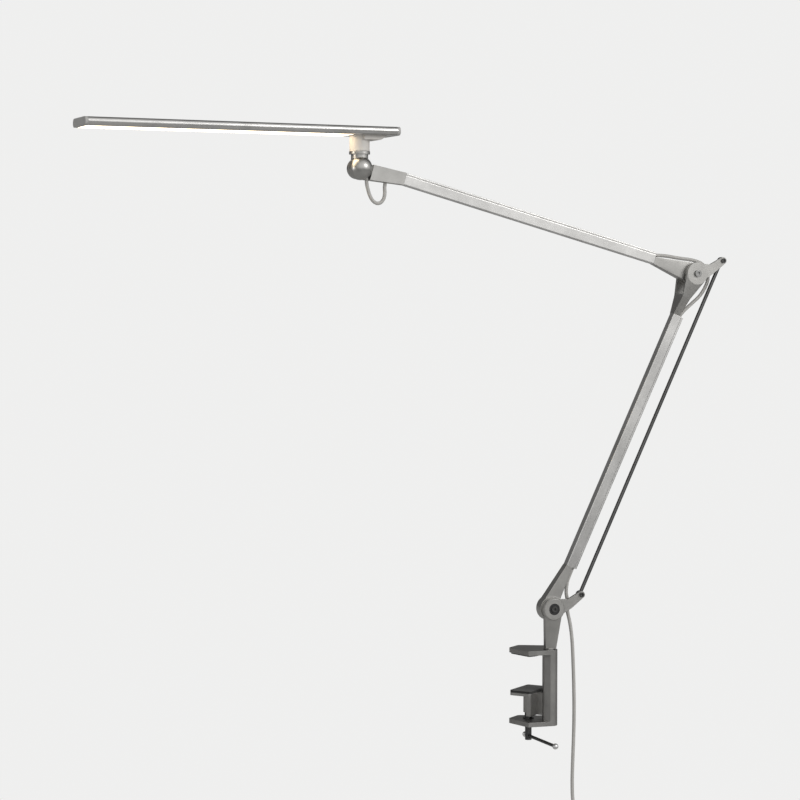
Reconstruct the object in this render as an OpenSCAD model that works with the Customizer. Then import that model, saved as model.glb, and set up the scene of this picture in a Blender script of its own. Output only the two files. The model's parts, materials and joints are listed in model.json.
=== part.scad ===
// Clamp-on swing arm desk lamp with a long flat light bar.
// Row frame: origin on the face of the top jaw pad that rests on the desk top,
// +X along the desk edge, +Y into the desk, +Z up. Millimetres.
// In the arm frames X points towards the head, Y sideways (near side positive), Z up.

/* [Rest pose] */
// Direction in which the arms point over the desk, counted from the desk edge
swivel_rest = 139.1; // [100:1:170]
// Backward lean of the lower arm from the vertical
lean_rest = 24.9; // [10:1:34]
// Rise of the upper arm above the horizontal
rise_rest = 15.7; // [5:1:30]
// Turn of the light bar about its post, from the plane of the arms
bar_turn_rest = 5.4; // [0:1:20]
// Direction of the clamp's T-bar, seen from above
tbar_rest = 232; // [200:1:260]

/* [Clamp] */
// Width of both jaws at their corners
jaw_w = 52.4; // [46:1:62]
// Distance from the column axis to the jaws' front edge
jaw_depth = 44.5; // [40:1:54]
// Distance from the column axis to the jaws' corners
jaw_corner_y = 12.5; // [11.8:0.1:13.5]
// Width of the jaws' front edge
jaw_tip_w = 23.4; // [16:1:28]
// Thickness of each jaw
jaw_t = 5; // [4:0.5:6.5]
// Radius of the column between the jaws
column_r = 8.2; // [8:0.1:9.8]
// Height of the space between the desk pad and the lower jaw
throat_h = 71; // [68:1:86]
// Thickness of the desk that the clamp holds
desk_t = 38; // [36:1:40]
// Thickness of the pad under the top jaw
top_pad_t = 1.5; // [1:0.1:2]
// Thickness of the pad on the moving jaw
low_pad_t = 2.5; // [2:0.1:3]
// Width of the moving jaw
moving_w = 44; // [38:1:50]
// Height of the moving jaw's upright plate
skirt_h = 24.5; // [20:0.5:25]
// Diameter of the clamp screw
screw_d = 7.8; // [6:0.1:9]
// Distance from the column axis to the screw axis
screw_y = 26; // [25:0.5:28]
// Distance between the T-bar's ball ends
tbar_len = 75.6; // [75.6:0.2:90]
// Distance from the screw axis to the T-bar's outer ball
tbar_reach = 68; // [40:0.2:68]
// Diameter of the T-bar
tbar_d = 3.5; // [3:0.1:4]
// Diameter of the T-bar's balls
ball_d = 6.4; // [5:0.1:7.2]

/* [Base] */
// Height of the lower arm's pivot above the desk
pivot_h = 51.5; // [50:0.5:62]
// Diameter of the swivel spigot
spigot_d = 9; // [7.6:0.1:9.4]
// Length of the swivel spigot below the bush flange
spigot_len = 28; // [23:1:34]
// Wall of the swivel bush
bush_wall = 1; // [0.8:0.1:1.1]
// Diameter of the boss around the pivot bolt
boss_d = 24.3; // [21:0.5:27]
// Diameter of the pivot bolts
bolt_d = 6; // [5:0.2:7.2]

/* [Tie rod] */
// Distance back from the pivot to the tie rod's pin
horn_x = 33.2; // [30:0.5:36]
// Height of the tie rod's pin above the pivot
horn_z = 14.2; // [13:0.2:17]
// Thickness of the two horn plates
horn_t = 3; // [2.6:0.1:3.2]
// Diameter of the tie rod
rod_d = 4; // [3.4:0.1:4.2]
// Diameter of the pins through the tie rod's eyes
pin_d = 3; // [2.4:0.1:3.4]

/* [Arms] */
// Lower arm, pivot to pivot
lower_len = 400; // [330:5:480]
// Upper arm, pivot to pivot
upper_len = 400; // [330:5:480]
// Depth of the arm tubes
tube_depth = 10.7; // [10.6:0.1:12]
// Width of the arm tubes
tube_w = 10; // [9.4:0.1:11]
// Wall of the arm tubes
tube_wall = 1.2; // [1:0.1:1.3]
// Distance from each pivot to the tube's end
end_len = 50; // [48:1:60]
// Height of the cover strip over the cable channel
cover_h = 2.4; // [2.2:0.1:3]
// Half the width of the elbow fork
fork_half = 13.7; // [13.2:0.1:16]
// Thickness of each fork cheek
cheek_t = 4.2; // [3.6:0.1:5]

/* [Head] */
// Length of the light bar over its end caps
bar_len = 340; // [290:2:416]
// Width of the light bar
bar_w = 44; // [37:1:53]
// Height of the light bar
bar_h = 9; // [8.6:0.1:10.8]
// Wall of the light bar's shell
bar_wall = 1.5; // [1.2:0.1:1.8]
// Distance from the rear end of the bar to its post
bar_rear = 37.6; // [37.6:0.2:44]
// Width of the light diffuser
diffuser_w = 31.6; // [26:0.2:32]
// Diameter of the knuckle under the post
knuckle_d = 25; // [24:0.5:27]
// Diameter of the post
post_d = 21; // [20.4:0.2:25]
// Height of the post
post_h = 11.7; // [11:0.1:14]
// Number of light-emitting diodes
led_count = 36; // [24:1:43]

/* [Cord] */
// Diameter of the cord and of the leads along the arms
cord_d = 3.8; // [3.2:0.1:3.8]

/* [Hidden] */
$fn = 64;
hull_fn = 32;       // facets of round pieces that are blended by hull()

run_gap = 0.05;     // radial clearance of a running fit
seat_gap = 0.02;    // clearance of a part pressed or bolted in place
face_gap = 0.3;     // room between the faces of two moving pieces
washer_t = 0.2;     // friction washers in that room
cut = 1;            // how far a cutting tool stands out of what it cuts

// Clamp
column_y = -26;                       // column axis in the row frame
jaw_top = top_pad_t + jaw_t;
frame_low = -throat_h - jaw_t;
pad_inset = 2;
groove_w = 8;
groove_t = 1.8;
bush_r = spigot_d / 2 + run_gap + bush_wall;
bush_len = spigot_len + 2;
flange_r = bush_r + 1.65;
flange_t = 1.5;
low_pad_top = -desk_t;
jaw_plate_t = 3;
jaw_plate_top = low_pad_top - low_pad_t;
skirt_t = 5.5;
skirt_y = jaw_corner_y + 0.1;
moving_depth = 25.4;
guide_w = 13;
nut_r = screw_d / 2 + 1.6;
nut_len = 23.5;
screw_top = -46.5;
collar_r = screw_d / 2 + 1;
collar_t = 1.2;
hub_r = 3.6;
hub_low = -94.5;
tbar_z = -90;
clip_t = 1;
clip_root_r = screw_d / 2 - 0.7;
clip_rim_r = screw_d / 2 + 2.2;

// Pivots: positions across the arms, near side positive
hub_near = 5.9;
hub_far = -6.5;
cheek_in = hub_near + face_gap;
boss_out = cheek_in + 6.5;
boss_chamfer = 1;
lower_hub_r = 13.5;
web_r = 9;                            // slimmer disc that the lower connector runs to
web_x = lower_hub_r - web_r - 0.5;
web_step = 0.4;                       // the web is this much thinner than the hub on each side
bolt_r = bolt_d / 2;
bolt_head_r = bolt_r + 0.3;
bolt_head_t = 2.2;
ring_r = 6.2;
ring_t = 1.2;
ring_seat = 1.5;
nut_flat = 1.7 * bolt_d;
nut_t = 5;
washer_r = 9;
neck_w = 12;
neck_t = 6;
neck_top_r = 10.5;
neck_z = jaw_top + 0.2;
scallop_r = lower_hub_r + 0.7;
horn_mid = [-18.5, 4.5];
horn_mid_r = 5.4;
horn_tip_r = 3.9;
horn_tip = [-horn_x, horn_z];
horn_out = cheek_in + horn_t;
rod_mid = hub_near - rod_d / 2;       // the tie rod's line across the arms
eye_r = 4;
pin_r = pin_d / 2;
pin_head_r = pin_r + 1.1;
pin_head_t = 1.8;
pin_stop_t = 0.6;
open_gap = 0.4;                       // clearance at the pivot where the linkage is opened

// Arm tubes: the cable channel is on the rear of the lower arm and on top of the upper arm
tube_half = tube_depth / 2;
channel_w = 5;
channel_d = 3;
core_w = tube_w - 2 * tube_wall;
core_d = tube_depth - channel_d - 2 * tube_wall;
core_y = -tube_half + tube_wall + core_d / 2;
seat_y = tube_half - channel_d - 0.05; // face of the end pieces under the cable
cover_w = tube_w - 2.4;
cable_y = tube_half - 0.95;            // cable axis in the channel
cover_recess = cable_y + cord_d / 2 + 0.25 - tube_half;
lower_shift = 1.5;                    // the lower tube lies behind the line of its pivots
upper_shift = 2;                      // the upper tube lies above the line of its pivots
tongue_len = 12;
fix_d = 3;
fix_in = 6;
lower_tube_len = lower_len - 2 * end_len;
upper_tube_len = upper_len - 2 * end_len;

// Elbow
fork_r = 12.2;
fork_slot_low = 27;
fork_waist_low = fork_slot_low + 2;   // the fork is slimmest just below its slot
fork_waist_half = 11;
fork_waist_depth = 9.5;
fork_in = fork_half - cheek_t;
lever_near = cheek_in + horn_t;
upper_hub_r = 11.8;
upper_hub_far = -(fork_in - face_gap);
lever_hub_r = 11.3;
cap_r = 11.5;
cap_t = 3;
cap_floor = 0.5;
elbow_head_r = bolt_r + 0.8;

// Head
ball_r = knuckle_d / 2;
ear_near = -4.5;
ear_far = -9.8;
ear_r = 11;
head_bolt_r = 2.5;
head_bolt_head_r = 4.3;
head_bolt_reach = 5.5;                // how far the bolt goes past the pivot's centre
ball_y = 3;                           // the knuckle's ball is set to the near side
neck_r = 9;
neck_top = 14.5;
flange_top = 17.5;
head_flange_r = 11;
pin_bore_r = 2.4;
swivel_pin_r = 5;
swivel_pin_low = 11.5;
post_low = flange_top + face_gap;
post_top = post_low + post_h;
swivel_pin_top = post_top - 0.1;
clip_seat = post_top - 2.5;
wire_room_r = 8;
shoe_t = 4.5;
shoe_w = 26;
shoe_rear = -25;
shoe_slope = 6;
bar_low = post_top + shoe_t;
bar_mid = bar_low + bar_h / 2;
cap_len = 3;
shell_rear = -bar_rear + cap_len;
shell_front = bar_len - bar_rear - cap_len;
window_rear = post_d / 2 + 2.5;
window_gap = 0.2;
board_t = 1.3;
led_t = 0.7;
knuckle_wire_x = -7.5;

// Cord and leads: points are chosen by hand along the real route
cord_r = cord_d / 2;
cord_sides = 8;
lead_hole_r = cord_r + 0.2;
lead_split = 200;                     // where two leads meet inside a tube
clip_wall = 1.2;
base_clip_x = -20.5;
base_clip_low = pivot_h - 0.5;
base_clip_len = 7;
elbow_clip_x = -19;
elbow_clip_z = 2.5;
elbow_clip_len = 5;
// Each list holds distances along the frame's own X and Z
head_lead_arm = [[lead_split, 6.4], [335, 6.4], [350, 6.4], [357, 5.8], [363, 3.6], [367, -0.2], [368.8, -4.5], [368.8, -7.5]];
head_lead_loop = [
    [-27.6, -19.2], [-27.8, -25.5], [-26.6, -31.5], [-23, -35.6], [-18.8, -36.2],
    [-14.6, -33.6], [-11.4, -28.5], [-9.2, -22], [-7.8, -15.5],
    [-7.5, -9], [-7.5, -0.3], [-7.05, 1.7], [-5.6, 3.6], [-1.9, 8.5], [-0.4, 11], [0, 13.5], [0, 27]
];
upper_lead_arm = [
    [lead_split, 6.4], [56, 6.4], [50, 6.6], [44, 8], [36, 9.7], [26, 11], [16, 12.4],
    [5, 14.1], [-5.5, 14.1], [-12, 12.3]
];
upper_lead_end = [[-18, 6.9], [-19, 5], [-19, 2.5]];
lower_lead_start = [[-19, 2.5], [-19, 0]];
lower_lead_arm = [
    [2.5, -19.9], [-6, -20.6], [-18, -18.7], [-29, -13.9], [-38.5, -9.4], [-44, -7.2], [-49.5, -5.9], [-62, -5.9],
    [lead_split - lower_len, -5.9]
];
base_lead_arm = [[lead_split, -5.9], [54, -5.9], [44, -6], [35, -6.4], [27.5, -8.4]];
base_lead_end = [[-19.1, 66], [-20.3, 60], [-20.5, 57.5], [-20.5, 51]];
mains_points = [
    [-20.5, 51], [-20.5, 48.5], [-20.9, 45], [-22.4, 39], [-24.2, 30], [-25.8, 18], [-26.8, 4], [-27.6, -14],
    [-28.3, -34], [-28.7, -54], [-28.6, -76], [-28, -98], [-27.2, -120], [-26.6, -142], [-26.5, -164], [-26.5, -184]
];
tail_points = [[-26.5, -212], [-26.5, -222], [-26.5, -234], [-26.5, -246]];
coil_r = 21.2;
coil_turn_w = 4;
coil_turn_h = 3;
coil_x = -26.5 + coil_r;
coil_z = -198;
tie_len = 6;
tie_t = 0.8;
adapter_x = -26.5;
adapter_top = -260;
adapter_h = 54;
adapter_w = 42;
adapter_t = 28;
relief_r1 = 4.6;
relief_r2 = 2.9;
blade = [1.5, 17, 6.3];
blade_gap = 12.7;

// ---------------------------------------------------------------- frames

module at_column() translate([0, column_y, 0]) children();

module at_base() at_column() rotate([0, 0, swivel_rest]) children();

module at_pivot() at_base() translate([0, 0, pivot_h]) children();

// Z along the lower arm, X to its front
module on_lower_arm() at_pivot() rotate([0, -lean_rest, 0]) children();

module at_elbow() on_lower_arm() translate([0, 0, lower_len]) rotate([0, lean_rest, 0]) children();

// X along the upper arm
module on_upper_arm() at_elbow() rotate([0, -rise_rest, 0]) children();

module at_head() on_upper_arm() translate([upper_len, 0, 0]) rotate([0, rise_rest, 0]) children();

// X along the light bar towards its front end
module on_head() at_head() rotate([0, 0, bar_turn_rest]) children();

// ---------------------------------------------------------------- shapes

function corner_arc(a, b, c, r, steps) =
    let (
        u = (a - b) / norm(a - b),
        v = (c - b) / norm(c - b),
        half = acos(u * v) / 2,
        centre = b + (u + v) / norm(u + v) * r / sin(half),
        p = b + u * r / tan(half) - centre,
        q = b + v * r / tan(half) - centre,
        start = atan2(p.y, p.x),
        sweep = (atan2(q.y, q.x) - start + 540) % 360 - 180
    )
    [for (i = [0:steps]) centre + r * [cos(start + sweep * i / steps), sin(start + sweep * i / steps)]];

// Outline with every corner rounded to the radius given for it
function rounded(pts, radii, steps = 5) =
    let (n = len(pts))
    [for (i = [0:n - 1]) each corner_arc(pts[(i + n - 1) % n], pts[i], pts[(i + 1) % n], radii[i % len(radii)], steps)];

module round_rect(w, h, r) polygon(rounded([[-w, -h] / 2, [w, -h] / 2, [w, h] / 2, [-w, h] / 2], [r]));

// Rounded slot shape, used for the light bar
module stadium(w, h) {
    square([w - h, h], center = true);
    for (side = [-1, 1]) translate([side * (w - h) / 2, 0]) circle(d = h);
}

// Two discs joined by their outer tangents
module link(p1, r1, p2, r2) {
    d = p2 - p1;
    along = atan2(d.y, d.x);
    open = acos((r1 - r2) / norm(d));
    translate(p1) circle(r1);
    translate(p2) circle(r2);
    polygon([
        p1 + r1 * [cos(along + open), sin(along + open)],
        p1 + r1 * [cos(along - open), sin(along - open)],
        p2 + r2 * [cos(along - open), sin(along - open)],
        p2 + r2 * [cos(along + open), sin(along + open)]
    ]);
}

// Cylinder along the pivots' direction, from y0 to y1 across the arms
module across(y0, y1, r, fn = 0)
    translate([0, y1, 0]) rotate([90, 0, 0]) cylinder(r = r, h = y1 - y0, $fn = fn > 0 ? fn : $fn);

// Plate cut from an outline in the plane of the arms, from y0 to y1
module plate_across(y0, y1) translate([0, y1, 0]) rotate([90, 0, 0]) linear_extrude(y1 - y0) children();

module washer(y, r_in) difference() {
    across(y, y + washer_t, washer_r);
    across(y - cut, y + washer_t + cut, r_in);
}

// Hexagon socket cut into a screw head whose face is at y
module hex_socket(y, flat, depth) across(y - depth, y + cut, flat / sqrt(3), 6);

// Round lead swept along points in the X-Z plane
module lead(points, d = cord_d) {
    n = len(points);
    k = cord_sides;
    function heading(i) =
        let (t = points[min(i + 1, n - 1)] - points[max(i - 1, 0)]) t / norm(t);
    rings = [
        for (i = [0:n - 1], j = [0:k - 1])
            let (t = heading(i), side = [t.y, -t.x], c = cos(360 * j / k) * d / 2, s = sin(360 * j / k) * d / 2)
            [points[i].x + side.x * c, s, points[i].y + side.y * c]
    ];
    walls = [
        for (i = [0:n - 2], j = [0:k - 1])
            let (a = i * k + j, b = i * k + (j + 1) % k)
            each [[a, b, b + k], [a, b + k, a + k]]
    ];
    caps = [[for (j = [k - 1:-1:0]) j], [for (j = [0:k - 1]) (n - 1) * k + j]];
    polyhedron(rings, concat(walls, caps));
}

// Points given along and above the upper arm, seen in the level frame of the elbow
function from_upper(p) = [
    p.x * cos(rise_rest) - p.y * sin(rise_rest),
    p.x * sin(rise_rest) + p.y * cos(rise_rest)
];
// Points given along the lower arm and to its front, seen in a level frame
function from_lower(p) = [
    -p.x * sin(lean_rest) + p.y * cos(lean_rest),
    p.x * cos(lean_rest) + p.y * sin(lean_rest)
];
function from_lower_all(list) = [for (p = list) from_lower(p)];

// ---------------------------------------------------------------- clamp

module jaw_outline() {
    corner = [jaw_w / 2, jaw_corner_y];
    touch = atan2(corner.y, corner.x) - acos(column_r / norm(corner));
    tangent = column_r * [cos(touch), sin(touch)];
    circle(column_r);
    polygon(rounded([
        tangent, corner, [jaw_tip_w / 2, jaw_depth],
        [-jaw_tip_w / 2, jaw_depth], [-corner.x, corner.y], [-tangent.x, tangent.y]
    ], [0.2, 1.5, 5, 5, 1.5, 0.2]));
}

module column_outline() difference() {
    circle(column_r);
    for (side = [-1, 1]) translate([side * column_r, 0]) square([2 * groove_t, groove_w], center = true);
}

module clamp_frame() color("silver") at_column() difference() {
    union() {
        translate([0, 0, top_pad_t]) linear_extrude(jaw_t) jaw_outline();
        translate([0, 0, frame_low]) linear_extrude(jaw_t) jaw_outline();
        translate([0, 0, -throat_h]) linear_extrude(throat_h + top_pad_t) column_outline();
    }
    translate([0, 0, jaw_top - bush_len]) cylinder(r = bush_r + seat_gap, h = bush_len + cut);
    translate([0, 0, jaw_top - flange_t]) cylinder(r = flange_r + seat_gap, h = flange_t + cut);
    translate([0, screw_y, frame_low - cut]) cylinder(r = screw_d / 2 + run_gap, h = jaw_t + 2 * cut);
}

module top_jaw_pad() color("black") at_column() linear_extrude(top_pad_t) {
    half = jaw_w / 2 - pad_inset - 1;
    tip = jaw_tip_w / 2 - 1;
    rear = column_r + 1;
    polygon(rounded([
        [-tip, jaw_depth - pad_inset], [-half, jaw_corner_y + 1], [-half + 9, rear],
        [half - 9, rear], [half, jaw_corner_y + 1], [tip, jaw_depth - pad_inset]
    ], [4, 2, 2, 2, 2, 4]));
}

module swivel_bush() color("black") at_column() difference() {
    union() {
        translate([0, 0, jaw_top - bush_len]) cylinder(r = bush_r, h = bush_len);
        translate([0, 0, jaw_top - flange_t]) cylinder(r = flange_r, h = flange_t);
    }
    translate([0, 0, jaw_top - bush_len - cut]) cylinder(r = spigot_d / 2 + run_gap, h = bush_len + 2 * cut);
}

module moving_plate() translate([0, skirt_y + moving_depth / 2]) round_rect(moving_w, moving_depth, 3);

module moving_jaw() color("gray") at_column() difference() {
    union() {
        translate([0, 0, jaw_plate_top - jaw_plate_t]) linear_extrude(jaw_plate_t) moving_plate();
        translate([-moving_w / 2 + 1, skirt_y, jaw_plate_top - skirt_h]) cube([moving_w - 2, skirt_t, skirt_h - 1]);
        translate([0, screw_y, jaw_plate_top - nut_len]) cylinder(r = nut_r, h = nut_len - 1);
        translate([-nut_r / 2, skirt_y, jaw_plate_top - nut_len + 2]) cube([nut_r, screw_y - skirt_y, nut_len - 3]);
        translate([-guide_w / 2, 0, jaw_plate_top - skirt_h]) cube([guide_w, skirt_y + 1, skirt_h]);
    }
    translate([0, 0, jaw_plate_top - skirt_h - cut]) cylinder(r = column_r + face_gap, h = skirt_h + 2 * cut);
    translate([0, screw_y, jaw_plate_top - nut_len - cut])
        cylinder(r = screw_d / 2 + run_gap, h = nut_len + 2 * cut);
}

module moving_jaw_pad() color("black") at_column()
    translate([0, 0, jaw_plate_top]) linear_extrude(low_pad_t) moving_plate();

module at_screw() at_column() translate([0, screw_y, 0]) rotate([0, 0, tbar_rest]) children();

module clamp_screw() color("dimgray") at_screw() difference() {
    union() {
        translate([0, 0, frame_low - 0.2]) cylinder(r = screw_d / 2, h = screw_top - frame_low + 0.2);
        translate([0, 0, frame_low - 0.2 - collar_t]) cylinder(r = collar_r, h = collar_t);
        translate([0, 0, hub_low]) cylinder(r = hub_r, h = frame_low - hub_low - 1);
    }
    translate([0, 0, -throat_h + 0.1]) difference() {
        cylinder(r = screw_d / 2 + cut, h = clip_t + 0.1);
        cylinder(r = clip_root_r, h = clip_t + 0.1);
    }
    translate([-hub_r - cut, 0, tbar_z]) rotate([0, 90, 0]) cylinder(r = tbar_d / 2 + run_gap, h = 2 * (hub_r + cut));
}

module screw_clip() color("black") at_screw() translate([0, 0, -throat_h + 0.15]) difference() {
    cylinder(r = clip_rim_r, h = clip_t);
    translate([0, 0, -cut]) cylinder(r = clip_root_r + seat_gap, h = clip_t + 2 * cut);
    translate([0, -clip_root_r + 0.4, -cut]) cube([clip_rim_r + cut, 2 * clip_root_r - 0.8, clip_t + 2 * cut]);
}

module t_bar() color("dimgray") at_screw()
    translate([tbar_reach - tbar_len, 0, tbar_z]) rotate([0, 90, 0]) cylinder(d = tbar_d, h = tbar_len);

module t_bar_balls() color("silver") at_screw() for (x = [tbar_reach - tbar_len, tbar_reach])
    translate([x, 0, tbar_z]) rotate([0, x < 0 ? 90 : -90, 0]) difference() {
        sphere(d = ball_d);
        cylinder(r = tbar_d / 2 + seat_gap, h = ball_d);
    }

// ---------------------------------------------------------------- base bracket

module lever_outline(r) {
    link([0, 0], r, horn_mid, horn_mid_r);
    link(horn_mid, horn_mid_r, horn_tip, horn_tip_r);
}

module base_bracket() color("silver") at_base() difference() {
    union() {
        translate([0, 0, jaw_top - spigot_len]) cylinder(r = spigot_d / 2, h = neck_z + cut - jaw_top + spigot_len);
        hull() {
            translate([-neck_w / 2, -neck_t / 2, neck_z]) cube([neck_w, neck_t, 1]);
            translate([0, 0, pivot_h]) across(cheek_in, boss_out - 2, neck_top_r, hull_fn);
        }
        translate([0, 0, pivot_h]) across(cheek_in, boss_out - boss_chamfer, boss_d / 2);
        translate([0, boss_out, pivot_h]) rotate([90, 0, 0])
            cylinder(r1 = boss_d / 2 - boss_chamfer, r2 = boss_d / 2, h = boss_chamfer);
        translate([0, 0, pivot_h]) plate_across(cheek_in, horn_out) lever_outline(neck_top_r);
    }
    translate([0, 0, pivot_h]) {
        across(hub_far - 6, cheek_in, scallop_r);
        across(boss_out - ring_seat, boss_out + cut, ring_r + seat_gap);
        across(0, boss_out + cut, bolt_r + seat_gap);
        translate([-horn_x, 0, horn_z]) across(0, boss_out, pin_r + seat_gap);
    }
}

module bolt(y0, y1, r, head_r, head_t, flat) difference() {
    union() {
        across(y0, y1 + 0.1, r);
        across(y1, y1 + head_t, head_r);
    }
    hex_socket(y1 + head_t, flat, head_t * 0.7);
}

module hex_nut(y1, t, flat, bore) difference() {
    across(y1 - t, y1, flat / sqrt(3), 6);
    across(y1 - t - cut, y1 + cut, bore);
}

base_bolt_seat = boss_out - ring_seat;
base_nut_top = hub_far - face_gap;

module base_bolt() color("gray") at_pivot()
    bolt(base_nut_top - nut_t - 1, base_bolt_seat, bolt_r, bolt_head_r, bolt_head_t, 3);

module base_bolt_ring() color("black") at_pivot() difference() {
    across(base_bolt_seat, base_bolt_seat + ring_t, ring_r);
    across(base_bolt_seat - cut, boss_out, bolt_head_r + seat_gap);
}

module base_nut() color("silver") at_pivot() hex_nut(base_nut_top, nut_t, nut_flat, bolt_r + seat_gap);

module base_washers() color("white") at_pivot() {
    washer(hub_near + seat_gap, bolt_r + run_gap);
    washer(base_nut_top + seat_gap, bolt_r + run_gap);
}

// Cable clip: a ring on the back of a horn plate, with its foot against the plate
module cord_clip(x, z0, len) difference() {
    union() {
        translate([x, 0, z0]) cylinder(r = lead_hole_r + clip_wall, h = len);
        translate([x - 2, 0, z0]) cube([4, cheek_in, len]);
    }
    translate([x, 0, z0 - cut]) cylinder(r = cord_r + seat_gap, h = len + 2 * cut);
}

module base_cord_clip() color("black") at_base() cord_clip(base_clip_x, base_clip_low, base_clip_len);

module horn_pin() difference() {
    union() {
        across(hub_near - rod_d - face_gap, horn_out + 0.1, pin_r);
        across(horn_out, horn_out + pin_head_t, pin_head_r);
        across(hub_near - rod_d - face_gap - pin_stop_t, hub_near - rod_d - face_gap, pin_head_r);
    }
    hex_socket(horn_out + pin_head_t, 2.5, 1.2);
}

module base_horn_pin() color("dimgray") at_pivot() translate([-horn_x, 0, horn_z]) horn_pin();

// ---------------------------------------------------------------- arm tubes

// Tube section: X across the arms, Y towards the cable channel
module tube_outline() difference() {
    round_rect(tube_w, tube_depth, 0.9);
    translate([0, core_y]) square([core_w, core_d], center = true);
    translate([0, tube_half]) square([channel_w, 2 * channel_d], center = true);
}

module cover_outline() difference() {
    translate([0, tube_half + cover_h / 2]) round_rect(cover_w, cover_h, 0.7);
    translate([0, tube_half]) square([cord_d + 0.5, 2 * cover_recess], center = true);
}

// Puts an outline on an arm: extruded along the arm from its lower end
module lower_section(z0, len) on_lower_arm()
    translate([-lower_shift, 0, z0]) rotate([0, 0, 90]) linear_extrude(len) children();

module upper_section(x0, len) on_upper_arm()
    translate([x0, 0, upper_shift]) rotate([90, 0, 90]) linear_extrude(len) children();

// Tongue of an end piece, inside the tube
module tongue_outline() translate([0, core_y]) square([core_w - 0.1, core_d - 0.1], center = true);

// Face of an end piece against the tube, up to y_top towards the cable side
module seat_outline(y_top) translate([0, (y_top - tube_half) / 2]) square([tube_w, y_top + tube_half], center = true);

module fixing(y_face) difference() {
    across(y_face, y_face + 3.5, fix_d / 2);
    across(y_face - cut, y_face + 1, 1.5 / sqrt(3), 6);
}

module fixing_hole() across(-tube_w / 2 - cut, -tube_w / 2 + 3.6, fix_d / 2 + seat_gap);

module lower_tube() color("lightgray") difference() {
    lower_section(end_len, lower_tube_len) tube_outline();
    lower_fixing_places() fixing_hole();
}

module lower_fixing_places() on_lower_arm() for (z = [end_len + fix_in, lower_len - end_len - fix_in])
    translate([-lower_shift - core_y, 0, z]) children();

module lower_tube_screws() color("dimgray") lower_fixing_places() fixing(-tube_w / 2);

module lower_cover() color("silver") lower_section(end_len, lower_tube_len) cover_outline();

groove_low = 20;                      // lower end of the groove for the lead, from the pivot

module lower_connector() color("silver") difference() {
    union() {
        hull() {
            on_lower_arm() translate([web_x, 0, 0]) across(hub_far + web_step, hub_near - web_step, web_r, hull_fn * 1.5);
            lower_section(end_len - 1, 1) seat_outline(seat_y);
        }
        on_lower_arm() across(hub_far, hub_near, lower_hub_r);
        lower_section(end_len - 1, tongue_len + 1) tongue_outline();
    }
    on_lower_arm() across(hub_far - cut, hub_near + cut, bolt_r + run_gap);
    on_lower_arm() translate([-lower_hub_r - lower_shift - seat_y, -lead_hole_r, groove_low])
        cube([lower_hub_r, 2 * lead_hole_r, end_len - groove_low + cut]);
    lower_fixing_places() fixing_hole();
}

// ---------------------------------------------------------------- elbow

module fork_waist() on_lower_arm() translate([-fork_waist_depth / 2, -fork_waist_half, lower_len - fork_waist_low])
    cube([fork_waist_depth, 2 * fork_waist_half, 1]);

module elbow_fork() color("silver") difference() {
    union() {
        hull() {
            at_elbow() across(-fork_half, fork_half, fork_r, hull_fn * 1.5);
            fork_waist();
        }
        hull() {
            fork_waist();
            lower_section(lower_len - end_len, 1) seat_outline(seat_y);
        }
        lower_section(lower_len - end_len - tongue_len, tongue_len + 1) tongue_outline();
    }
    on_lower_arm() translate([-2 * fork_r, -fork_in, lower_len - fork_slot_low])
        cube([4 * fork_r, 2 * fork_in, fork_slot_low + 2 * fork_r]);
    at_elbow() across(-fork_half - cut, fork_half + cut, bolt_r + seat_gap);
    lower_fixing_places() fixing_hole();
}

module elbow_bolt() color("gray") at_elbow()
    bolt(-fork_half - nut_t + 1, fork_half + cap_floor, bolt_r, elbow_head_r, 1.8, 3);

module elbow_cap() color("white") at_elbow() translate([0, fork_half, 0]) rotate([-90, 0, 0]) rotate_extrude()
    polygon([
        [bolt_r + seat_gap, 0], [cap_r, 0], [cap_r, 0.9], [cap_r - 0.5, 1.7], [cap_r - 1.6, 2.5], [cap_r - 3.4, cap_t],
        [elbow_head_r + 1.6, cap_t - 0.2], [elbow_head_r + 0.3, cap_t - 0.8],
        [elbow_head_r + 0.3, cap_floor], [bolt_r + seat_gap, cap_floor]
    ]);

// Domed nut: a hexagon with a closed round top
module elbow_nut() color("silver") at_elbow() difference() {
    union() {
        across(-fork_half - nut_t, -fork_half, nut_flat / sqrt(3), 6);
        translate([0, -fork_half - nut_t + 1.2, 0]) sphere(r = nut_flat / 2 - 0.3);
    }
    across(-fork_half, 2 * fork_half, nut_flat);
    across(-fork_half - nut_t + 0.8, cut, bolt_r + seat_gap);
}

module elbow_washers() color("white") at_elbow() for (y = [upper_hub_far - face_gap, hub_near, lever_near])
    washer(y + seat_gap, bolt_r + run_gap);

module tie_rod() color("dimgray") at_pivot() translate([-horn_x, 0, horn_z]) rotate([0, -lean_rest, 0]) difference() {
    union() {
        translate([0, rod_mid, 0]) cylinder(d = rod_d, h = lower_len);
        for (z = [0, lower_len]) translate([0, 0, z]) across(rod_mid - rod_d / 2, rod_mid + rod_d / 2, eye_r);
    }
    across(-cut, boss_out, pin_r + run_gap);
    translate([0, 0, lower_len]) across(-cut, boss_out, pin_r + open_gap);
}

module elbow_lever() color("silver") at_elbow() difference() {
    plate_across(cheek_in, lever_near) lever_outline(lever_hub_r);
    across(0, boss_out, bolt_r + run_gap);
    translate([-horn_x, 0, horn_z]) across(0, boss_out, pin_r + seat_gap);
}

module elbow_lever_pin() color("dimgray") at_elbow() translate([-horn_x, 0, horn_z]) horn_pin();

module elbow_cord_clip() color("black") at_elbow()
    cord_clip(elbow_clip_x, elbow_clip_z - elbow_clip_len / 2, elbow_clip_len);

// ---------------------------------------------------------------- upper arm

module upper_fixing_places() on_upper_arm() for (x = [end_len + fix_in, upper_len - end_len - fix_in])
    translate([x, 0, upper_shift + core_y]) children();

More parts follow.
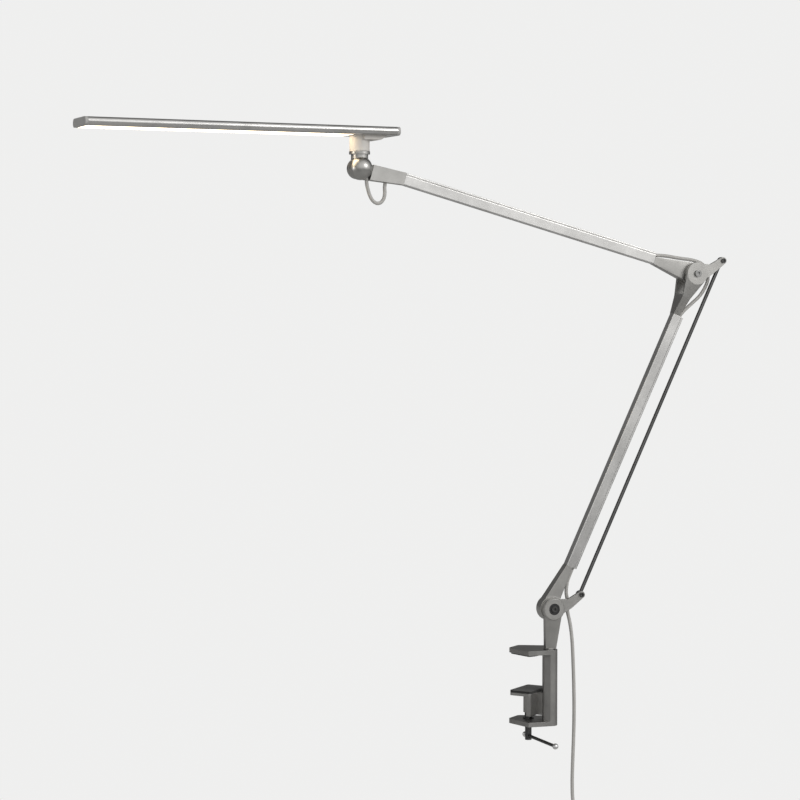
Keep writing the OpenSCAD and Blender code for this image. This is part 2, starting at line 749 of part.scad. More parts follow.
module rear_connector() color("silver") difference() {
    union() {
        hull() {
            on_upper_arm() across(upper_hub_far, hub_near, upper_hub_r, hull_fn * 1.5);
            upper_section(end_len - 1, 1) seat_outline(seat_y);
        }
        upper_section(end_len - 1, tongue_len + 1) tongue_outline();
    }
    at_elbow() across(-fork_half, fork_half, bolt_r + run_gap);
    upper_fixing_places() fixing_hole();
}

module upper_tube() color("lightgray") difference() {
    upper_section(end_len, upper_tube_len) tube_outline();
    upper_fixing_places() fixing_hole();
}

module upper_cover() color("silver") upper_section(end_len, upper_tube_len) cover_outline();

module upper_tube_screws() color("dimgray") upper_fixing_places() fixing(-tube_w / 2);

throat_x = upper_len - ball_r - 1.5;  // where the front connector narrows to its ear
throat_low = -8.8;
throat_high = 7.6;
throat_near = 4.5;
drop_x = upper_len - 31.2;            // where the lead leaves it downwards
drop_r = lead_hole_r + 0.4;
chamber_low = -4;
chamber_high = 7.5;

module throat(y_near) translate([throat_x, ear_far, throat_low])
    cube([1, y_near - ear_far, throat_high - throat_low]);

module front_connector() color("silver") difference() {
    union() {
        hull() {
            upper_section(upper_len - end_len, 1) seat_outline(tube_half + cover_h);
            on_upper_arm() throat(throat_near);
        }
        on_upper_arm() hull() {
            throat(ear_near);
            translate([upper_len, 0, 0]) across(ear_far, ear_near, ear_r, hull_fn * 1.5);
        }
        upper_section(upper_len - end_len - tongue_len, tongue_len + 1) tongue_outline();
    }
    on_upper_arm() {
        translate([upper_len - end_len - cut, -lead_hole_r, chamber_low])
            cube([9.5, 2 * lead_hole_r, upper_shift + cable_y + lead_hole_r - chamber_low]);
        translate([upper_len - end_len + 5, -lead_hole_r, chamber_low])
            cube([drop_x + lead_hole_r - upper_len + end_len - 5, 2 * lead_hole_r, chamber_high - chamber_low]);
        translate([drop_x, 0, -12]) cylinder(r = drop_r, h = 12);
        translate([upper_len, 0, 0]) across(ear_near, throat_near + cut, ball_r + 0.5);
        translate([upper_len, 0, 0]) across(ear_far - cut, ear_near + cut, head_bolt_r + run_gap);
    }
    upper_fixing_places() fixing_hole();
}

// ---------------------------------------------------------------- head

module knuckle() color("silver") at_head() difference() {
    union() {
        difference() {
            union() {
                translate([0, ball_y, 0]) sphere(r = ball_r);
                cylinder(r = neck_r, h = neck_top);
            }
            translate([-2 * ball_r, -3 * ball_r, -2 * ball_r])
                cube([4 * ball_r, 3 * ball_r + ear_near + face_gap, 2 * ball_r + ear_r + face_gap]);
        }
        translate([0, 0, neck_top]) cylinder(r = head_flange_r, h = flange_top - neck_top);
    }
    across(ear_near - cut, head_bolt_reach + 0.5, head_bolt_r + seat_gap);
    translate([knuckle_wire_x, 0, -ball_r]) cylinder(r = pin_bore_r, h = ball_r + 2);
    translate([knuckle_wire_x, 0, 1]) rotate([0, atan2(-knuckle_wire_x, 10), 0])
        cylinder(r = pin_bore_r, h = norm([knuckle_wire_x, 10]));
    translate([knuckle_wire_x, 0, 1]) sphere(r = pin_bore_r);
    translate([0, 0, 10.5]) cylinder(r = pin_bore_r, h = 3);
    translate([0, 0, swivel_pin_low]) cylinder(r = swivel_pin_r + seat_gap, h = flange_top);
}

// Its head is on the far side, outside the ear
module head_bolt() color("gray") at_head() rotate([0, 0, 180])
    bolt(-head_bolt_reach, -ear_far + face_gap, head_bolt_r, head_bolt_head_r, 2.4, 3);

module swivel_pin() color("silver") at_head() difference() {
    translate([0, 0, swivel_pin_low]) cylinder(r = swivel_pin_r, h = swivel_pin_top - swivel_pin_low);
    translate([0, 0, swivel_pin_low - cut]) cylinder(r = pin_bore_r, h = swivel_pin_top);
    translate([0, 0, clip_seat]) difference() {
        cylinder(r = swivel_pin_r + cut, h = clip_t + 0.3);
        cylinder(r = swivel_pin_r - 0.8, h = clip_t + 0.3);
    }
}

module swivel_washer() color("white") at_head() translate([0, 0, flange_top + seat_gap]) difference() {
    cylinder(r = head_flange_r - 1.2, h = washer_t);
    translate([0, 0, -cut]) cylinder(r = swivel_pin_r + 0.1, h = washer_t + 2 * cut);
}

module post() color("ivory") on_head() difference() {
    translate([0, 0, post_low]) cylinder(d = post_d, h = post_h);
    translate([0, 0, post_low - cut]) cylinder(r = swivel_pin_r + run_gap, h = post_h + 2 * cut);
    translate([0, 0, clip_seat - 0.2]) cylinder(r = wire_room_r, h = post_h);
}

module pin_clip() color("dimgray") at_head() translate([0, 0, clip_seat + 0.1]) difference() {
    cylinder(r = swivel_pin_r + 2.2, h = clip_t);
    translate([0, 0, -cut]) cylinder(r = swivel_pin_r - 0.8 + seat_gap, h = clip_t + 2 * cut);
    translate([0, -2.5, -cut]) cube([2 * swivel_pin_r, 5, clip_t + 2 * cut]);
}

module shoe() color("ivory") on_head() difference() {
    union() {
        translate([0, 0, post_top]) cylinder(d = post_d, h = shoe_t);
        translate([0, shoe_w / 2, post_top]) rotate([90, 0, 0]) linear_extrude(shoe_w)
            polygon([[0, 0], [0, shoe_t], [shoe_rear, shoe_t], [shoe_rear, shoe_t - 0.8], [shoe_rear + shoe_slope, 0]]);
    }
    translate([0, 0, post_top - cut]) cylinder(r = wire_room_r, h = shoe_t + 2 * cut);
    shoe_screw_places() translate([0, 0, post_top - cut]) cylinder(r = 1.5 + seat_gap, h = 10);
    shoe_screw_places() translate([0, 0, post_top - cut]) cylinder(r = 2.8 + seat_gap, h = 1.5 + cut);
}

module shoe_screw_places() for (side = [-1, 1]) translate([-14.5, side * 8, 0]) children();

module shoe_screws() color("gray") on_head() shoe_screw_places() translate([0, 0, post_top]) difference() {
    union() {
        translate([0, 0, 0.1]) cylinder(r = 2.8, h = 1.4);
        cylinder(r = 1.5, h = shoe_t + bar_wall + 1.5);
    }
    translate([0, 0, -cut]) cylinder(r = 1.9 / sqrt(3), h = cut + 1.1, $fn = 6);
}

module bar_section(x0, len) on_head() translate([x0, 0, bar_mid]) rotate([90, 0, 90]) linear_extrude(len) children();

module bar_shell() color("silver") difference() {
    bar_section(shell_rear, shell_front - shell_rear) difference() {
        stadium(bar_w, bar_h);
        stadium(bar_w - 2 * bar_wall, bar_h - 2 * bar_wall);
    }
    on_head() {
        translate([window_rear, -diffuser_w / 2 - window_gap, bar_low - cut])
            cube([shell_front - window_rear + cut, diffuser_w + 2 * window_gap, bar_wall + 2 * cut]);
        translate([0, 0, bar_low - cut]) cylinder(r = 4, h = bar_wall + 2 * cut);
        shoe_screw_places() translate([0, 0, bar_low - cut]) cylinder(r = 1.5 + seat_gap, h = bar_wall + 2 * cut);
    }
}

board_rear = window_rear + 3;
board_front = shell_front - 7;
board_low = bar_low + bar_h - bar_wall - board_t;

module led_board() color("white") on_head()
    translate([board_rear, -13, board_low]) cube([board_front - board_rear, 26, board_t]);

module leds() color("yellow") on_head() {
    pitch = (board_front - board_rear) / led_count;
    for (i = [0:led_count - 1])
        translate([board_rear + (i + 0.5) * pitch - 1.75, -1.4, board_low - led_t]) cube([3.5, 2.8, led_t]);
}

module diffuser() color("lightyellow") on_head()
    translate([window_rear + window_gap, -diffuser_w / 2, bar_low])
        cube([shell_front - window_rear - 2 * window_gap, diffuser_w, bar_wall + 0.1]);

module end_cap(x_face, x_plug) {
    bar_section(x_face, cap_len) stadium(bar_w, bar_h);
    bar_section(x_plug, 4.5) difference() {
        stadium(bar_w - 2 * bar_wall - 0.2, bar_h - 2 * bar_wall - 0.2);
        stadium(bar_w - 2 * bar_wall - 3, bar_h - 2 * bar_wall - 2.6);
        translate([-bar_w / 2, -bar_h / 2]) square([bar_w, bar_wall + 0.7]);
    }
}

module end_cap_front() color("whitesmoke") end_cap(shell_front, shell_front - 4.5);

module end_cap_rear() color("whitesmoke") end_cap(-bar_rear, shell_rear);

module touch_pad() color("gray") on_head() translate([-24, 0, bar_low + bar_h]) cylinder(r = 6, h = 0.5);

// ---------------------------------------------------------------- leads and cord

module head_lead() color("gainsboro") at_head() {
    arm = [for (p = head_lead_arm) from_upper(p - [upper_len, 0])];
    lead(concat(arm, head_lead_loop));
}

module upper_lead() color("gainsboro") at_elbow()
    lead(concat([for (p = upper_lead_arm) from_upper(p)], upper_lead_end));

module lower_lead() color("gainsboro") at_elbow()
    lead(concat(lower_lead_start, from_lower_all(lower_lead_arm)));

module base_lead() color("gainsboro") at_base() {
    arm = [for (p = from_lower_all(base_lead_arm)) p + [0, pivot_h]];
    lead(concat(arm, base_lead_end));
}

module mains_cord() color("gainsboro") at_base() {
    lead(mains_points);
    lead(tail_points);
}

module coil_section(extra = 0) square([coil_turn_h * cord_d + extra, coil_turn_w * cord_d + extra], center = true);

module cord_coil() color("gainsboro") at_base() translate([coil_x, 0, coil_z]) rotate([90, 0, 0])
    rotate_extrude() translate([coil_r, 0]) coil_section();

module cord_tie() color("black") at_base() translate([coil_x + coil_r, 0, coil_z - tie_len / 2])
    linear_extrude(tie_len) difference() {
        coil_section(2 * tie_t + 0.8);
        coil_section(0.8);
    }

module power_adapter() color("whitesmoke") at_base() translate([adapter_x, 0, adapter_top]) {
    translate([0, 0, -adapter_h]) linear_extrude(adapter_h) round_rect(adapter_w, adapter_t, 4);
    cylinder(r1 = relief_r1, r2 = relief_r2, h = 14);
}

module adapter_pins() color("silver") at_base() for (side = [-1, 1])
    translate([adapter_x + side * blade_gap / 2 - blade.x / 2, -adapter_t / 2 - blade.y, adapter_top - 30]) cube(blade);

// ---------------------------------------------------------------- nodes

clamp_frame();
top_jaw_pad();
swivel_bush();
moving_jaw();
moving_jaw_pad();
clamp_screw();
screw_clip();
t_bar();
t_bar_balls();
base_bracket();
base_bolt();
base_bolt_ring();
base_nut();
base_washers();
base_cord_clip();
base_horn_pin();
lower_connector();
lower_tube();
lower_cover();
lower_tube_screws();
elbow_fork();
elbow_bolt();
elbow_cap();
elbow_nut();
elbow_washers();
tie_rod();
elbow_lever();
elbow_lever_pin();
elbow_cord_clip();
rear_connector();
upper_tube();
upper_cover();
upper_tube_screws();
front_connector();
knuckle();
head_bolt();
swivel_pin();
swivel_washer();
post();
pin_clip();
shoe();
shoe_screws();
bar_shell();
led_board();
leds();
diffuser();
end_cap_front();
end_cap_rear();
touch_pad();
head_lead();
upper_lead();
lower_lead();
base_lead();
mains_cord();
cord_coil();
cord_tie();
power_adapter();
adapter_pins();
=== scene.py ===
"""Looks of a clamp-on swing arm desk lamp with a long flat light bar.

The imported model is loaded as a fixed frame: +X along the desk edge, +Y into the
desk, +Z up, metres, origin on the face of the top jaw pad. Each sub-assembly is a
class that dresses its own CAD nodes and builds the pieces that need finer shapes.
"""

import json
import logging
import math
from dataclasses import dataclass, field
from enum import Enum
from typing import Callable, Iterable, Sequence

import bpy
from mathutils import Matrix, Vector


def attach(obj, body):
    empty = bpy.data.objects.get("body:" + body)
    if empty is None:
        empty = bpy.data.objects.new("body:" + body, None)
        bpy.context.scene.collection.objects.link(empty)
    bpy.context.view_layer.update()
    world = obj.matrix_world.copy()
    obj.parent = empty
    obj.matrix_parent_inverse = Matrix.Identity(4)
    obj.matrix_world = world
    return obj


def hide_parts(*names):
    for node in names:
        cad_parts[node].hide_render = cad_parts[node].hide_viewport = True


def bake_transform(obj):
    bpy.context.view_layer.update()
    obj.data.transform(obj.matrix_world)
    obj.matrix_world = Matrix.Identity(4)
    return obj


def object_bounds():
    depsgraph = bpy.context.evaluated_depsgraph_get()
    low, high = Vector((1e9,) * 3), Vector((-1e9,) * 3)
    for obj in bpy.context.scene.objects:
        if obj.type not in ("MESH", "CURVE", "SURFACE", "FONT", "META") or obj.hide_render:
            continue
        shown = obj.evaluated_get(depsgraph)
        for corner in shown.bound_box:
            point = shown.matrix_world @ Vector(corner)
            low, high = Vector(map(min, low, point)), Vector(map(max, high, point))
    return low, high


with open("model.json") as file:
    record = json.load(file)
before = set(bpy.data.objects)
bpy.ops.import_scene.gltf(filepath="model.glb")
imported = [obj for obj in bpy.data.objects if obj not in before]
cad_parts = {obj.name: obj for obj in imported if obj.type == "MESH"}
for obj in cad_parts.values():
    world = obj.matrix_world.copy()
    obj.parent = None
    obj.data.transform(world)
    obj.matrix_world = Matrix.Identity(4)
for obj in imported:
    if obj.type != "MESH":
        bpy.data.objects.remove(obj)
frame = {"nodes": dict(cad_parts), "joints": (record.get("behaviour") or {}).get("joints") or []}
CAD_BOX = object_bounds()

LOG = logging.getLogger("desk_lamp")
MM = 0.001
BAR_TURN = 5.4  # degrees by which the light bar is turned from the plane of the arms
Point = tuple[float, float]
NodeTree = bpy.types.NodeTree


# ------------------------------------------------------------------ frames of the arms


class Side(Enum):
    """Where a set of route points is measured from."""

    BASE = "base"
    LOWER = "lower"
    ELBOW = "elbow"
    UPPER = "upper"
    HEAD = "head"


@dataclass(frozen=True)
class ArmPlane:
    """The upright plane in which both arms swing, read from the record's joints.

    Attributes:
        column: A point on the swivel axis at the height of the desk top.
        base: The lower arm's pivot.
        elbow: The pivot between the arms.
        head: The pivot under the light bar.
        across: Unit vector across the arms, towards the tie rod's side.
    """

    column: Vector
    base: Vector
    elbow: Vector
    head: Vector
    across: Vector

    @classmethod
    def from_joints(cls, joints: Sequence[dict]) -> "ArmPlane":
        """Reads the pivots from the joints.

        Args:
            joints: The joint records of the frame.

        Returns:
            The plane of the arms.
        """
        by_name = {j["name"]: j for j in joints}

        def place(name: str) -> Vector:
            """The named joint's point."""
            return Vector(by_name[name]["pos_m"])

        return cls(
            column=place("base_swivel"),
            base=place("lower_arm_tilt"),
            elbow=place("elbow_tilt"),
            head=place("head_tilt"),
            across=Vector(by_name["lower_arm_tilt"]["axis"]).normalized(),
        )

    @property
    def forward(self) -> Vector:
        """Level unit vector from the column towards the head."""
        return self.across.cross(Vector((0, 0, 1))).normalized()

    def point(self, side: Side, x: float, z: float, y: float = 0.0) -> Vector:
        """A point given in one of the plane's own frames.

        Args:
            side: The frame that x and z belong to.
            x: Millimetres forward, or along the arm for LOWER and UPPER.
            z: Millimetres up, or out of the arm's line for LOWER and UPPER.
            y: Millimetres across the arms.

        Returns:
            The point in the row frame, in metres.
        """
        up = Vector((0, 0, 1))
        if side is Side.LOWER:
            along = (self.elbow - self.base).normalized()
            front = self.across.cross(along).normalized()
            origin, ex, ez = self.base, along, front
        elif side is Side.UPPER:
            along = (self.head - self.elbow).normalized()
            origin, ex, ez = self.elbow, along, along.cross(self.across).normalized()
        else:
            origin = {Side.BASE: self.column, Side.ELBOW: self.elbow, Side.HEAD: self.head}[side]
            ex, ez = self.forward, up
        return origin + (ex * x + ez * z + self.across * y) * MM


PLANE = ArmPlane.from_joints(frame["joints"])


# ------------------------------------------------------------------ node helpers


def link(tree: NodeTree, source: bpy.types.NodeSocket, target: bpy.types.NodeSocket) -> None:
    """Joins two sockets."""
    tree.links.new(source, target)


def add(tree: NodeTree, kind: str, **inputs: object) -> bpy.types.Node:
    """Adds a node and sets its inputs by name.

    Args:
        tree: The tree that gets the node.
        kind: The node's type name.
        **inputs: Values or sockets, keyed by input name with _ for a space;
            a name that is an attribute of the node sets that instead.

    Returns:
        The new node.
    """
    node = tree.nodes.new(kind)
    for name, value in inputs.items():
        if hasattr(node, name):
            setattr(node, name, value)
    for name, value in inputs.items():
        if hasattr(node, name):
            continue
        socket = node.inputs[name.replace("_", " ")]
        if isinstance(value, bpy.types.NodeSocket):
            link(tree, value, socket)
        else:
            socket.default_value = value
    return node


def ramp(
    tree: NodeTree, value: bpy.types.NodeSocket, low: float, high: float, out: Point = (0.0, 1.0)
) -> bpy.types.NodeSocket:
    """Maps low..high to out, clamped.

    Args:
        tree: The tree that gets the node.
        value: The socket to map.
        low: Value that becomes the first of out.
        high: Value that becomes the second of out.
        out: The two results.

    Returns:
        The mapped value's socket.
    """
    node = tree.nodes.new("ShaderNodeMapRange")
    link(tree, value, node.inputs["Value"])
    for name, number in zip(("From Min", "From Max", "To Min", "To Max"), (low, high, *out)):
        node.inputs[name].default_value = number
    return node.outputs["Result"]


def mix_colour(
    tree: NodeTree, amount: bpy.types.NodeSocket | float, a: object, b: object, mode: str = "MIX"
) -> bpy.types.NodeSocket:
    """Mixes two colours.

    Args:
        tree: The tree that gets the node.
        amount: How much of b, as a number or a socket.
        a: First colour or socket.
        b: Second colour or socket.
        mode: Blend mode.

    Returns:
        The mixed colour's socket.
    """
    node = tree.nodes.new("ShaderNodeMix")
    node.data_type = "RGBA"
    node.blend_type = mode
    for socket, value in ((node.inputs[0], amount), (node.inputs[6], a), (node.inputs[7], b)):
        if isinstance(value, bpy.types.NodeSocket):
            link(tree, value, socket)
        else:
            socket.default_value = value if isinstance(value, float) else (*value, 1.0)
    return node.outputs[2]


# ------------------------------------------------------------------ finishes

Colour = tuple[float, float, float]


class Grain(Enum):
    """The direction in which a metal's fine lines run."""

    NONE = "none"
    LOWER_ARM = "lower arm"
    UPPER_ARM = "upper arm"
    BAR = "bar"


def grain_turn(grain: Grain) -> Vector:
    """Unit vector along a grain.

    Args:
        grain: Which grain.

    Returns:
        The direction in the row frame.
    """
    lengths = {
        Grain.LOWER_ARM: PLANE.elbow - PLANE.base,
        Grain.UPPER_ARM: PLANE.head - PLANE.elbow,
        Grain.BAR: Matrix.Rotation(math.radians(BAR_TURN), 3, "Z") @ PLANE.forward,
    }
    return lengths.get(grain, Vector((0, 0, 1))).normalized()


@dataclass(frozen=True)
class Finish:
    """What every finish shares.

    Attributes:
        name: The material's name.
        colour: Linear base colour.
        roughness: Mean roughness.
    """

    name: str
    colour: Colour
    roughness: float

    def start(self) -> tuple[bpy.types.Material, NodeTree, bpy.types.Node, bpy.types.NodeSocket]:
        """Makes the material with its shader.

        Returns:
            The material, its tree, its Principled shader and the object coordinates.
        """
        material = bpy.data.materials.new(self.name)
        material.use_nodes = True
        tree = material.node_tree
        shader = tree.nodes["Principled BSDF"]
        coords = tree.nodes.new("ShaderNodeTexCoord").outputs["Object"]
        return material, tree, shader, coords

    def material(self) -> bpy.types.Material:
        """The finish's one material, made when first asked for."""
        found = bpy.data.materials.get(self.name)
        return found if found else self.build()

    def build(self) -> bpy.types.Material:
        """Makes the material."""
        raise NotImplementedError


@dataclass(frozen=True)
class Metal(Finish):
    """Satin, cast or polished metal with fine lines, grain and edges tinted lighter or darker.

    Attributes:
        grain: Direction of the fine lines.
        mottle: Share by which the colour varies.
        texture: Depth of the surface's grain in millimetres.
        texture_size: Size of that grain in millimetres.
        edge: How much lighter the edges are, or darker when below 0.
        radius: Radius of the softened edges in millimetres.
        metallic: The shader's metallic value.
    """

    grain: Grain = Grain.NONE
    mottle: float = 0.10
    texture: float = 0.006
    texture_size: float = 0.7
    edge: float = 0.25
    radius: float = 0.35
    metallic: float = 1.0

    def build(self) -> bpy.types.Material:
        """Makes the metal's material."""
        material, tree, shader, coords = self.start()
        shader.inputs["Metallic"].default_value = self.metallic
        lines = coords
        if self.grain is not Grain.NONE:
            turn = grain_turn(self.grain).rotation_difference(Vector((0, 0, 1))).to_euler()
            mapping = add(tree, "ShaderNodeMapping", Vector=coords)
            mapping.inputs["Rotation"].default_value = turn
            mapping.inputs["Scale"].default_value = (1.0, 1.0, 0.02)
            lines = mapping.outputs["Vector"]
        fine = add(tree, "ShaderNodeTexNoise", Vector=lines, Scale=1000 / self.texture_size, Detail=3.0)
        broad = add(tree, "ShaderNodeTexNoise", Vector=coords, Scale=38.0, Detail=5.0, Roughness=0.6)
        smudge = add(tree, "ShaderNodeTexNoise", Vector=coords, Scale=9.0, Detail=3.0)
        dark = tuple(c * (1 - self.mottle) for c in self.colour)
        light = tuple(min(1.0, c * (1 + self.mottle)) for c in self.colour)
        colour = mix_colour(tree, ramp(tree, broad.outputs["Fac"], 0.35, 0.65), dark, light)
        bevel = add(tree, "ShaderNodeBevel", samples=6, Radius=self.radius * MM)
        geometry = tree.nodes.new("ShaderNodeNewGeometry")
        facing = add(tree, "ShaderNodeVectorMath", operation="DOT_PRODUCT")
        link(tree, bevel.outputs["Normal"], facing.inputs[0])
        link(tree, geometry.outputs["Normal"], facing.inputs[1])
        # Edges within the bevel radius are tinted lighter by edge, and darker when edge is below 0.
        edge_band = ramp(tree, facing.outputs["Value"], 0.995, 0.90)
        edge_tint = tuple(min(1.0, c * (1 + self.edge)) for c in self.colour)
        colour = mix_colour(tree, edge_band, colour, edge_tint)
        link(tree, colour, shader.inputs["Base Color"])
        rough = ramp(
            tree, smudge.outputs["Fac"], 0.3, 0.7, (self.roughness * 0.85, self.roughness * 1.15)
        )
        link(tree, rough, shader.inputs["Roughness"])
        bump = add(tree, "ShaderNodeBump", Strength=0.6, Distance=self.texture * MM)
        link(tree, fine.outputs["Fac"], bump.inputs["Height"])
        link(tree, bevel.outputs["Normal"], bump.inputs["Normal"])
        link(tree, bump.outputs["Normal"], shader.inputs["Normal"])
        return material


@dataclass(frozen=True)
class Plastic(Finish):
    """Moulded plastic or rubber with a fine spark-eroded grain.

    Attributes:
        texture: Depth of the moulded grain in millimetres.
        texture_size: Size of that grain in millimetres.
        mottle: Share by which the colour varies.
        radius: Radius of the softened edges in millimetres.
        sheen: Weight of the soft sheen, for rubber.
    """

    texture: float = 0.02
    texture_size: float = 0.5
    mottle: float = 0.05
    radius: float = 0.3
    sheen: float = 0.0

    def build(self) -> bpy.types.Material:
        """Makes the plastic's material."""
        material, tree, shader, coords = self.start()
        shader.inputs["Sheen Weight"].default_value = self.sheen
        grains = add(tree, "ShaderNodeTexNoise", Vector=coords, Scale=1000 / self.texture_size, Detail=2.0)
        broad = add(tree, "ShaderNodeTexNoise", Vector=coords, Scale=45.0, Detail=4.0)
        dark = tuple(c * (1 - self.mottle) for c in self.colour)
        light = tuple(min(1.0, c * (1 + self.mottle)) for c in self.colour)
        colour = mix_colour(tree, ramp(tree, broad.outputs["Fac"], 0.3, 0.7), dark, light)
        link(tree, colour, shader.inputs["Base Color"])
        rough = ramp(
            tree, grains.outputs["Fac"], 0.3, 0.7, (self.roughness * 0.9, min(1.0, self.roughness * 1.1))
        )
        link(tree, rough, shader.inputs["Roughness"])
        bevel = add(tree, "ShaderNodeBevel", samples=4, Radius=self.radius * MM)
        bump = add(tree, "ShaderNodeBump", Strength=0.5, Distance=self.texture * MM)
        link(tree, grains.outputs["Fac"], bump.inputs["Height"])
        link(tree, bevel.outputs["Normal"], bump.inputs["Normal"])
        link(tree, bump.outputs["Normal"], shader.inputs["Normal"])
        return material


@dataclass(frozen=True)
class Glow(Finish):
    """Frosted plastic or an emitter lit from within.

    Attributes:
        light: Colour of the light.
        strength: Strength of the light.
        vary: Share by which the light varies over the surface.
    """

    light: Colour = (1.0, 0.8, 0.55)
    strength: float = 5.0
    vary: float = 0.06

    def build(self) -> bpy.types.Material:
        """Makes the lit material."""
        material, tree, shader, coords = self.start()
        shader.inputs["Base Color"].default_value = (*self.colour, 1.0)
        shader.inputs["Roughness"].default_value = self.roughness
        cloud = add(tree, "ShaderNodeTexNoise", Vector=coords, Scale=60.0, Detail=2.0)
        dim = tuple(c * (1 - self.vary) for c in self.light)
        colour = mix_colour(tree, ramp(tree, cloud.outputs["Fac"], 0.3, 0.7), dim, self.light)
        link(tree, colour, shader.inputs["Emission Color"])
        shader.inputs["Emission Strength"].default_value = self.strength
        frost = add(tree, "ShaderNodeTexNoise", Vector=coords, Scale=2500.0, Detail=1.0)
        bump = add(tree, "ShaderNodeBump", Strength=0.4, Distance=0.01 * MM)
        link(tree, frost.outputs["Fac"], bump.inputs["Height"])
        link(tree, bump.outputs["Normal"], shader.inputs["Normal"])
        return material


class Finishes:
    """All finishes of the lamp, named for where they are used."""

    clamp = Metal("clamp_cast_grey", (0.36, 0.355, 0.345), 0.36, mottle=0.12, texture=0.012, edge=-0.3)
    casting = Metal("joint_cast_silver", (0.46, 0.455, 0.44), 0.36, texture=0.01, edge=-0.25)
    lower_tube = Metal("lower_arm_anodised", (0.66, 0.655, 0.645), 0.30, Grain.LOWER_ARM, texture=0.003)
    upper_tube = Metal("upper_arm_anodised", (0.66, 0.655, 0.645), 0.30, Grain.UPPER_ARM, texture=0.003)
    bar = Metal("light_bar_anodised", (0.60, 0.595, 0.585), 0.28, Grain.BAR, texture=0.003, edge=-0.2)
    cap = Metal("elbow_cap_satin", (0.52, 0.515, 0.505), 0.34, mottle=0.05, texture=0.003, edge=-0.1)
    polished = Metal("polished_ball", (0.80, 0.80, 0.80), 0.12, mottle=0.03, texture=0.001, edge=0.1)
    fixing = Metal("fixing_zinc", (0.34, 0.34, 0.335), 0.30, texture=0.003, texture_size=0.3)
    dark_steel = Metal("dark_steel", (0.10, 0.10, 0.10), 0.34, texture=0.004, edge=0.8)
    rod = Metal("tie_rod_grey", (0.13, 0.13, 0.13), 0.30, Grain.LOWER_ARM, texture=0.003, edge=0.4)
    brass = Metal("nickel_pins", (0.62, 0.60, 0.55), 0.22, texture=0.002)
    rubber = Plastic("pad_rubber", (0.018, 0.018, 0.018), 0.75, texture=0.05, sheen=0.2)
    black = Plastic("black_nylon", (0.022, 0.022, 0.024), 0.45)
    washer = Plastic("washer_nylon", (0.62, 0.61, 0.58), 0.45)
    head_grey = Plastic("head_moulded", (0.68, 0.655, 0.62), 0.42, texture=0.015)
    cap_grey = Plastic("end_cap_moulded", (0.50, 0.495, 0.485), 0.38, texture=0.012)
    adapter = Plastic("adapter_moulded", (0.66, 0.65, 0.63), 0.5, texture=0.04, texture_size=0.8)
    cable = Plastic("cable_sheath", (0.50, 0.49, 0.47), 0.48, texture=0.01, texture_size=0.6)
    board = Plastic("board_white", (0.78, 0.78, 0.76), 0.4)
    diffuser = Glow("diffuser_lit", (0.95, 0.88, 0.74), 0.4, strength=4.5)
    diode = Glow("diode_lit", (1.0, 0.9, 0.6), 0.3, strength=8.0)


def dress(node: str, finish: Finish) -> None:
    """Gives a CAD node its material.

    Args:
        node: The node's name.
        finish: The finish it gets.
    """
    shown = frame["nodes"][node]
    shown.data.materials.clear()
    shown.data.materials.append(finish.material())


# ------------------------------------------------------------------ geometry nodes


@dataclass
class Recipe:
    """A Geometry Nodes tree with named inputs, applied to a mesh and kept as a plain mesh."""

    name: str
    tree: NodeTree = field(init=False)

    def __post_init__(self) -> None:
        """Starts the tree with its geometry sockets."""
        self.tree = bpy.data.node_groups.new(self.name, "GeometryNodeTree")
        self.tree.interface.new_socket("Geometry", in_out="INPUT", socket_type="NodeSocketGeometry")
        self.tree.interface.new_socket("Geometry", in_out="OUTPUT", socket_type="NodeSocketGeometry")
        self.entry = self.tree.nodes.new("NodeGroupInput")
        self.exit = self.tree.nodes.new("NodeGroupOutput")

    def size(self, name: str, value: float | int) -> bpy.types.NodeSocket:
        """Adds a named input with its value.

        Args:
            name: The input's name.
            value: Its default.

        Returns:
            The input's socket inside the tree.
        """
        kind = "NodeSocketInt" if isinstance(value, int) else "NodeSocketFloat"
        socket = self.tree.interface.new_socket(name, in_out="INPUT", socket_type=kind)
        socket.default_value = value
        return self.entry.outputs[name]

    def close(self, geometry: bpy.types.NodeSocket, finish: Finish, smooth: bool = True) -> None:
        """Ends the tree in Realize Instances and Set Material.

        Args:
            geometry: What the tree has made.
            finish: The finish of the result.
            smooth: Whether it is shaded smooth.
        """
        real = add(self.tree, "GeometryNodeRealizeInstances", Geometry=geometry)
        shade = add(self.tree, "GeometryNodeSetShadeSmooth", Geometry=real.outputs["Geometry"])
        shade.inputs["Shade Smooth"].default_value = smooth
        paint = add(self.tree, "GeometryNodeSetMaterial", Geometry=shade.outputs["Geometry"])
        paint.inputs["Material"].default_value = finish.material()
        link(self.tree, paint.outputs["Geometry"], self.exit.inputs["Geometry"])

    def make(self, name: str, seed: bpy.types.Mesh, **sizes: float | int) -> bpy.types.Object:
        """Runs the tree on a mesh.

        Args:
            name: Name of the finished piece.
            seed: The mesh that the tree starts from.
            **sizes: Values of the named inputs, with _ for a space.

        Returns:
            The finished piece, a plain mesh with no modifier.
        """
        carrier = bpy.data.objects.new(name + "_carrier", seed)
        bpy.context.scene.collection.objects.link(carrier)
        modifier = carrier.modifiers.new(self.name, "NODES")
        modifier.node_group = self.tree
        sockets = {s.name: s.identifier for s in self.tree.interface.items_tree if s.in_out == "INPUT"}
        for key, value in sizes.items():
            modifier[sockets[key.replace("_", " ")]] = value
        depsgraph = bpy.context.evaluated_depsgraph_get()
        mesh = bpy.data.meshes.new_from_object(carrier.evaluated_get(depsgraph), depsgraph=depsgraph)
        mesh.name = name
        bpy.data.objects.remove(carrier)
        piece = bpy.data.objects.new(name, mesh)
        bpy.context.scene.collection.objects.link(piece)
        return piece


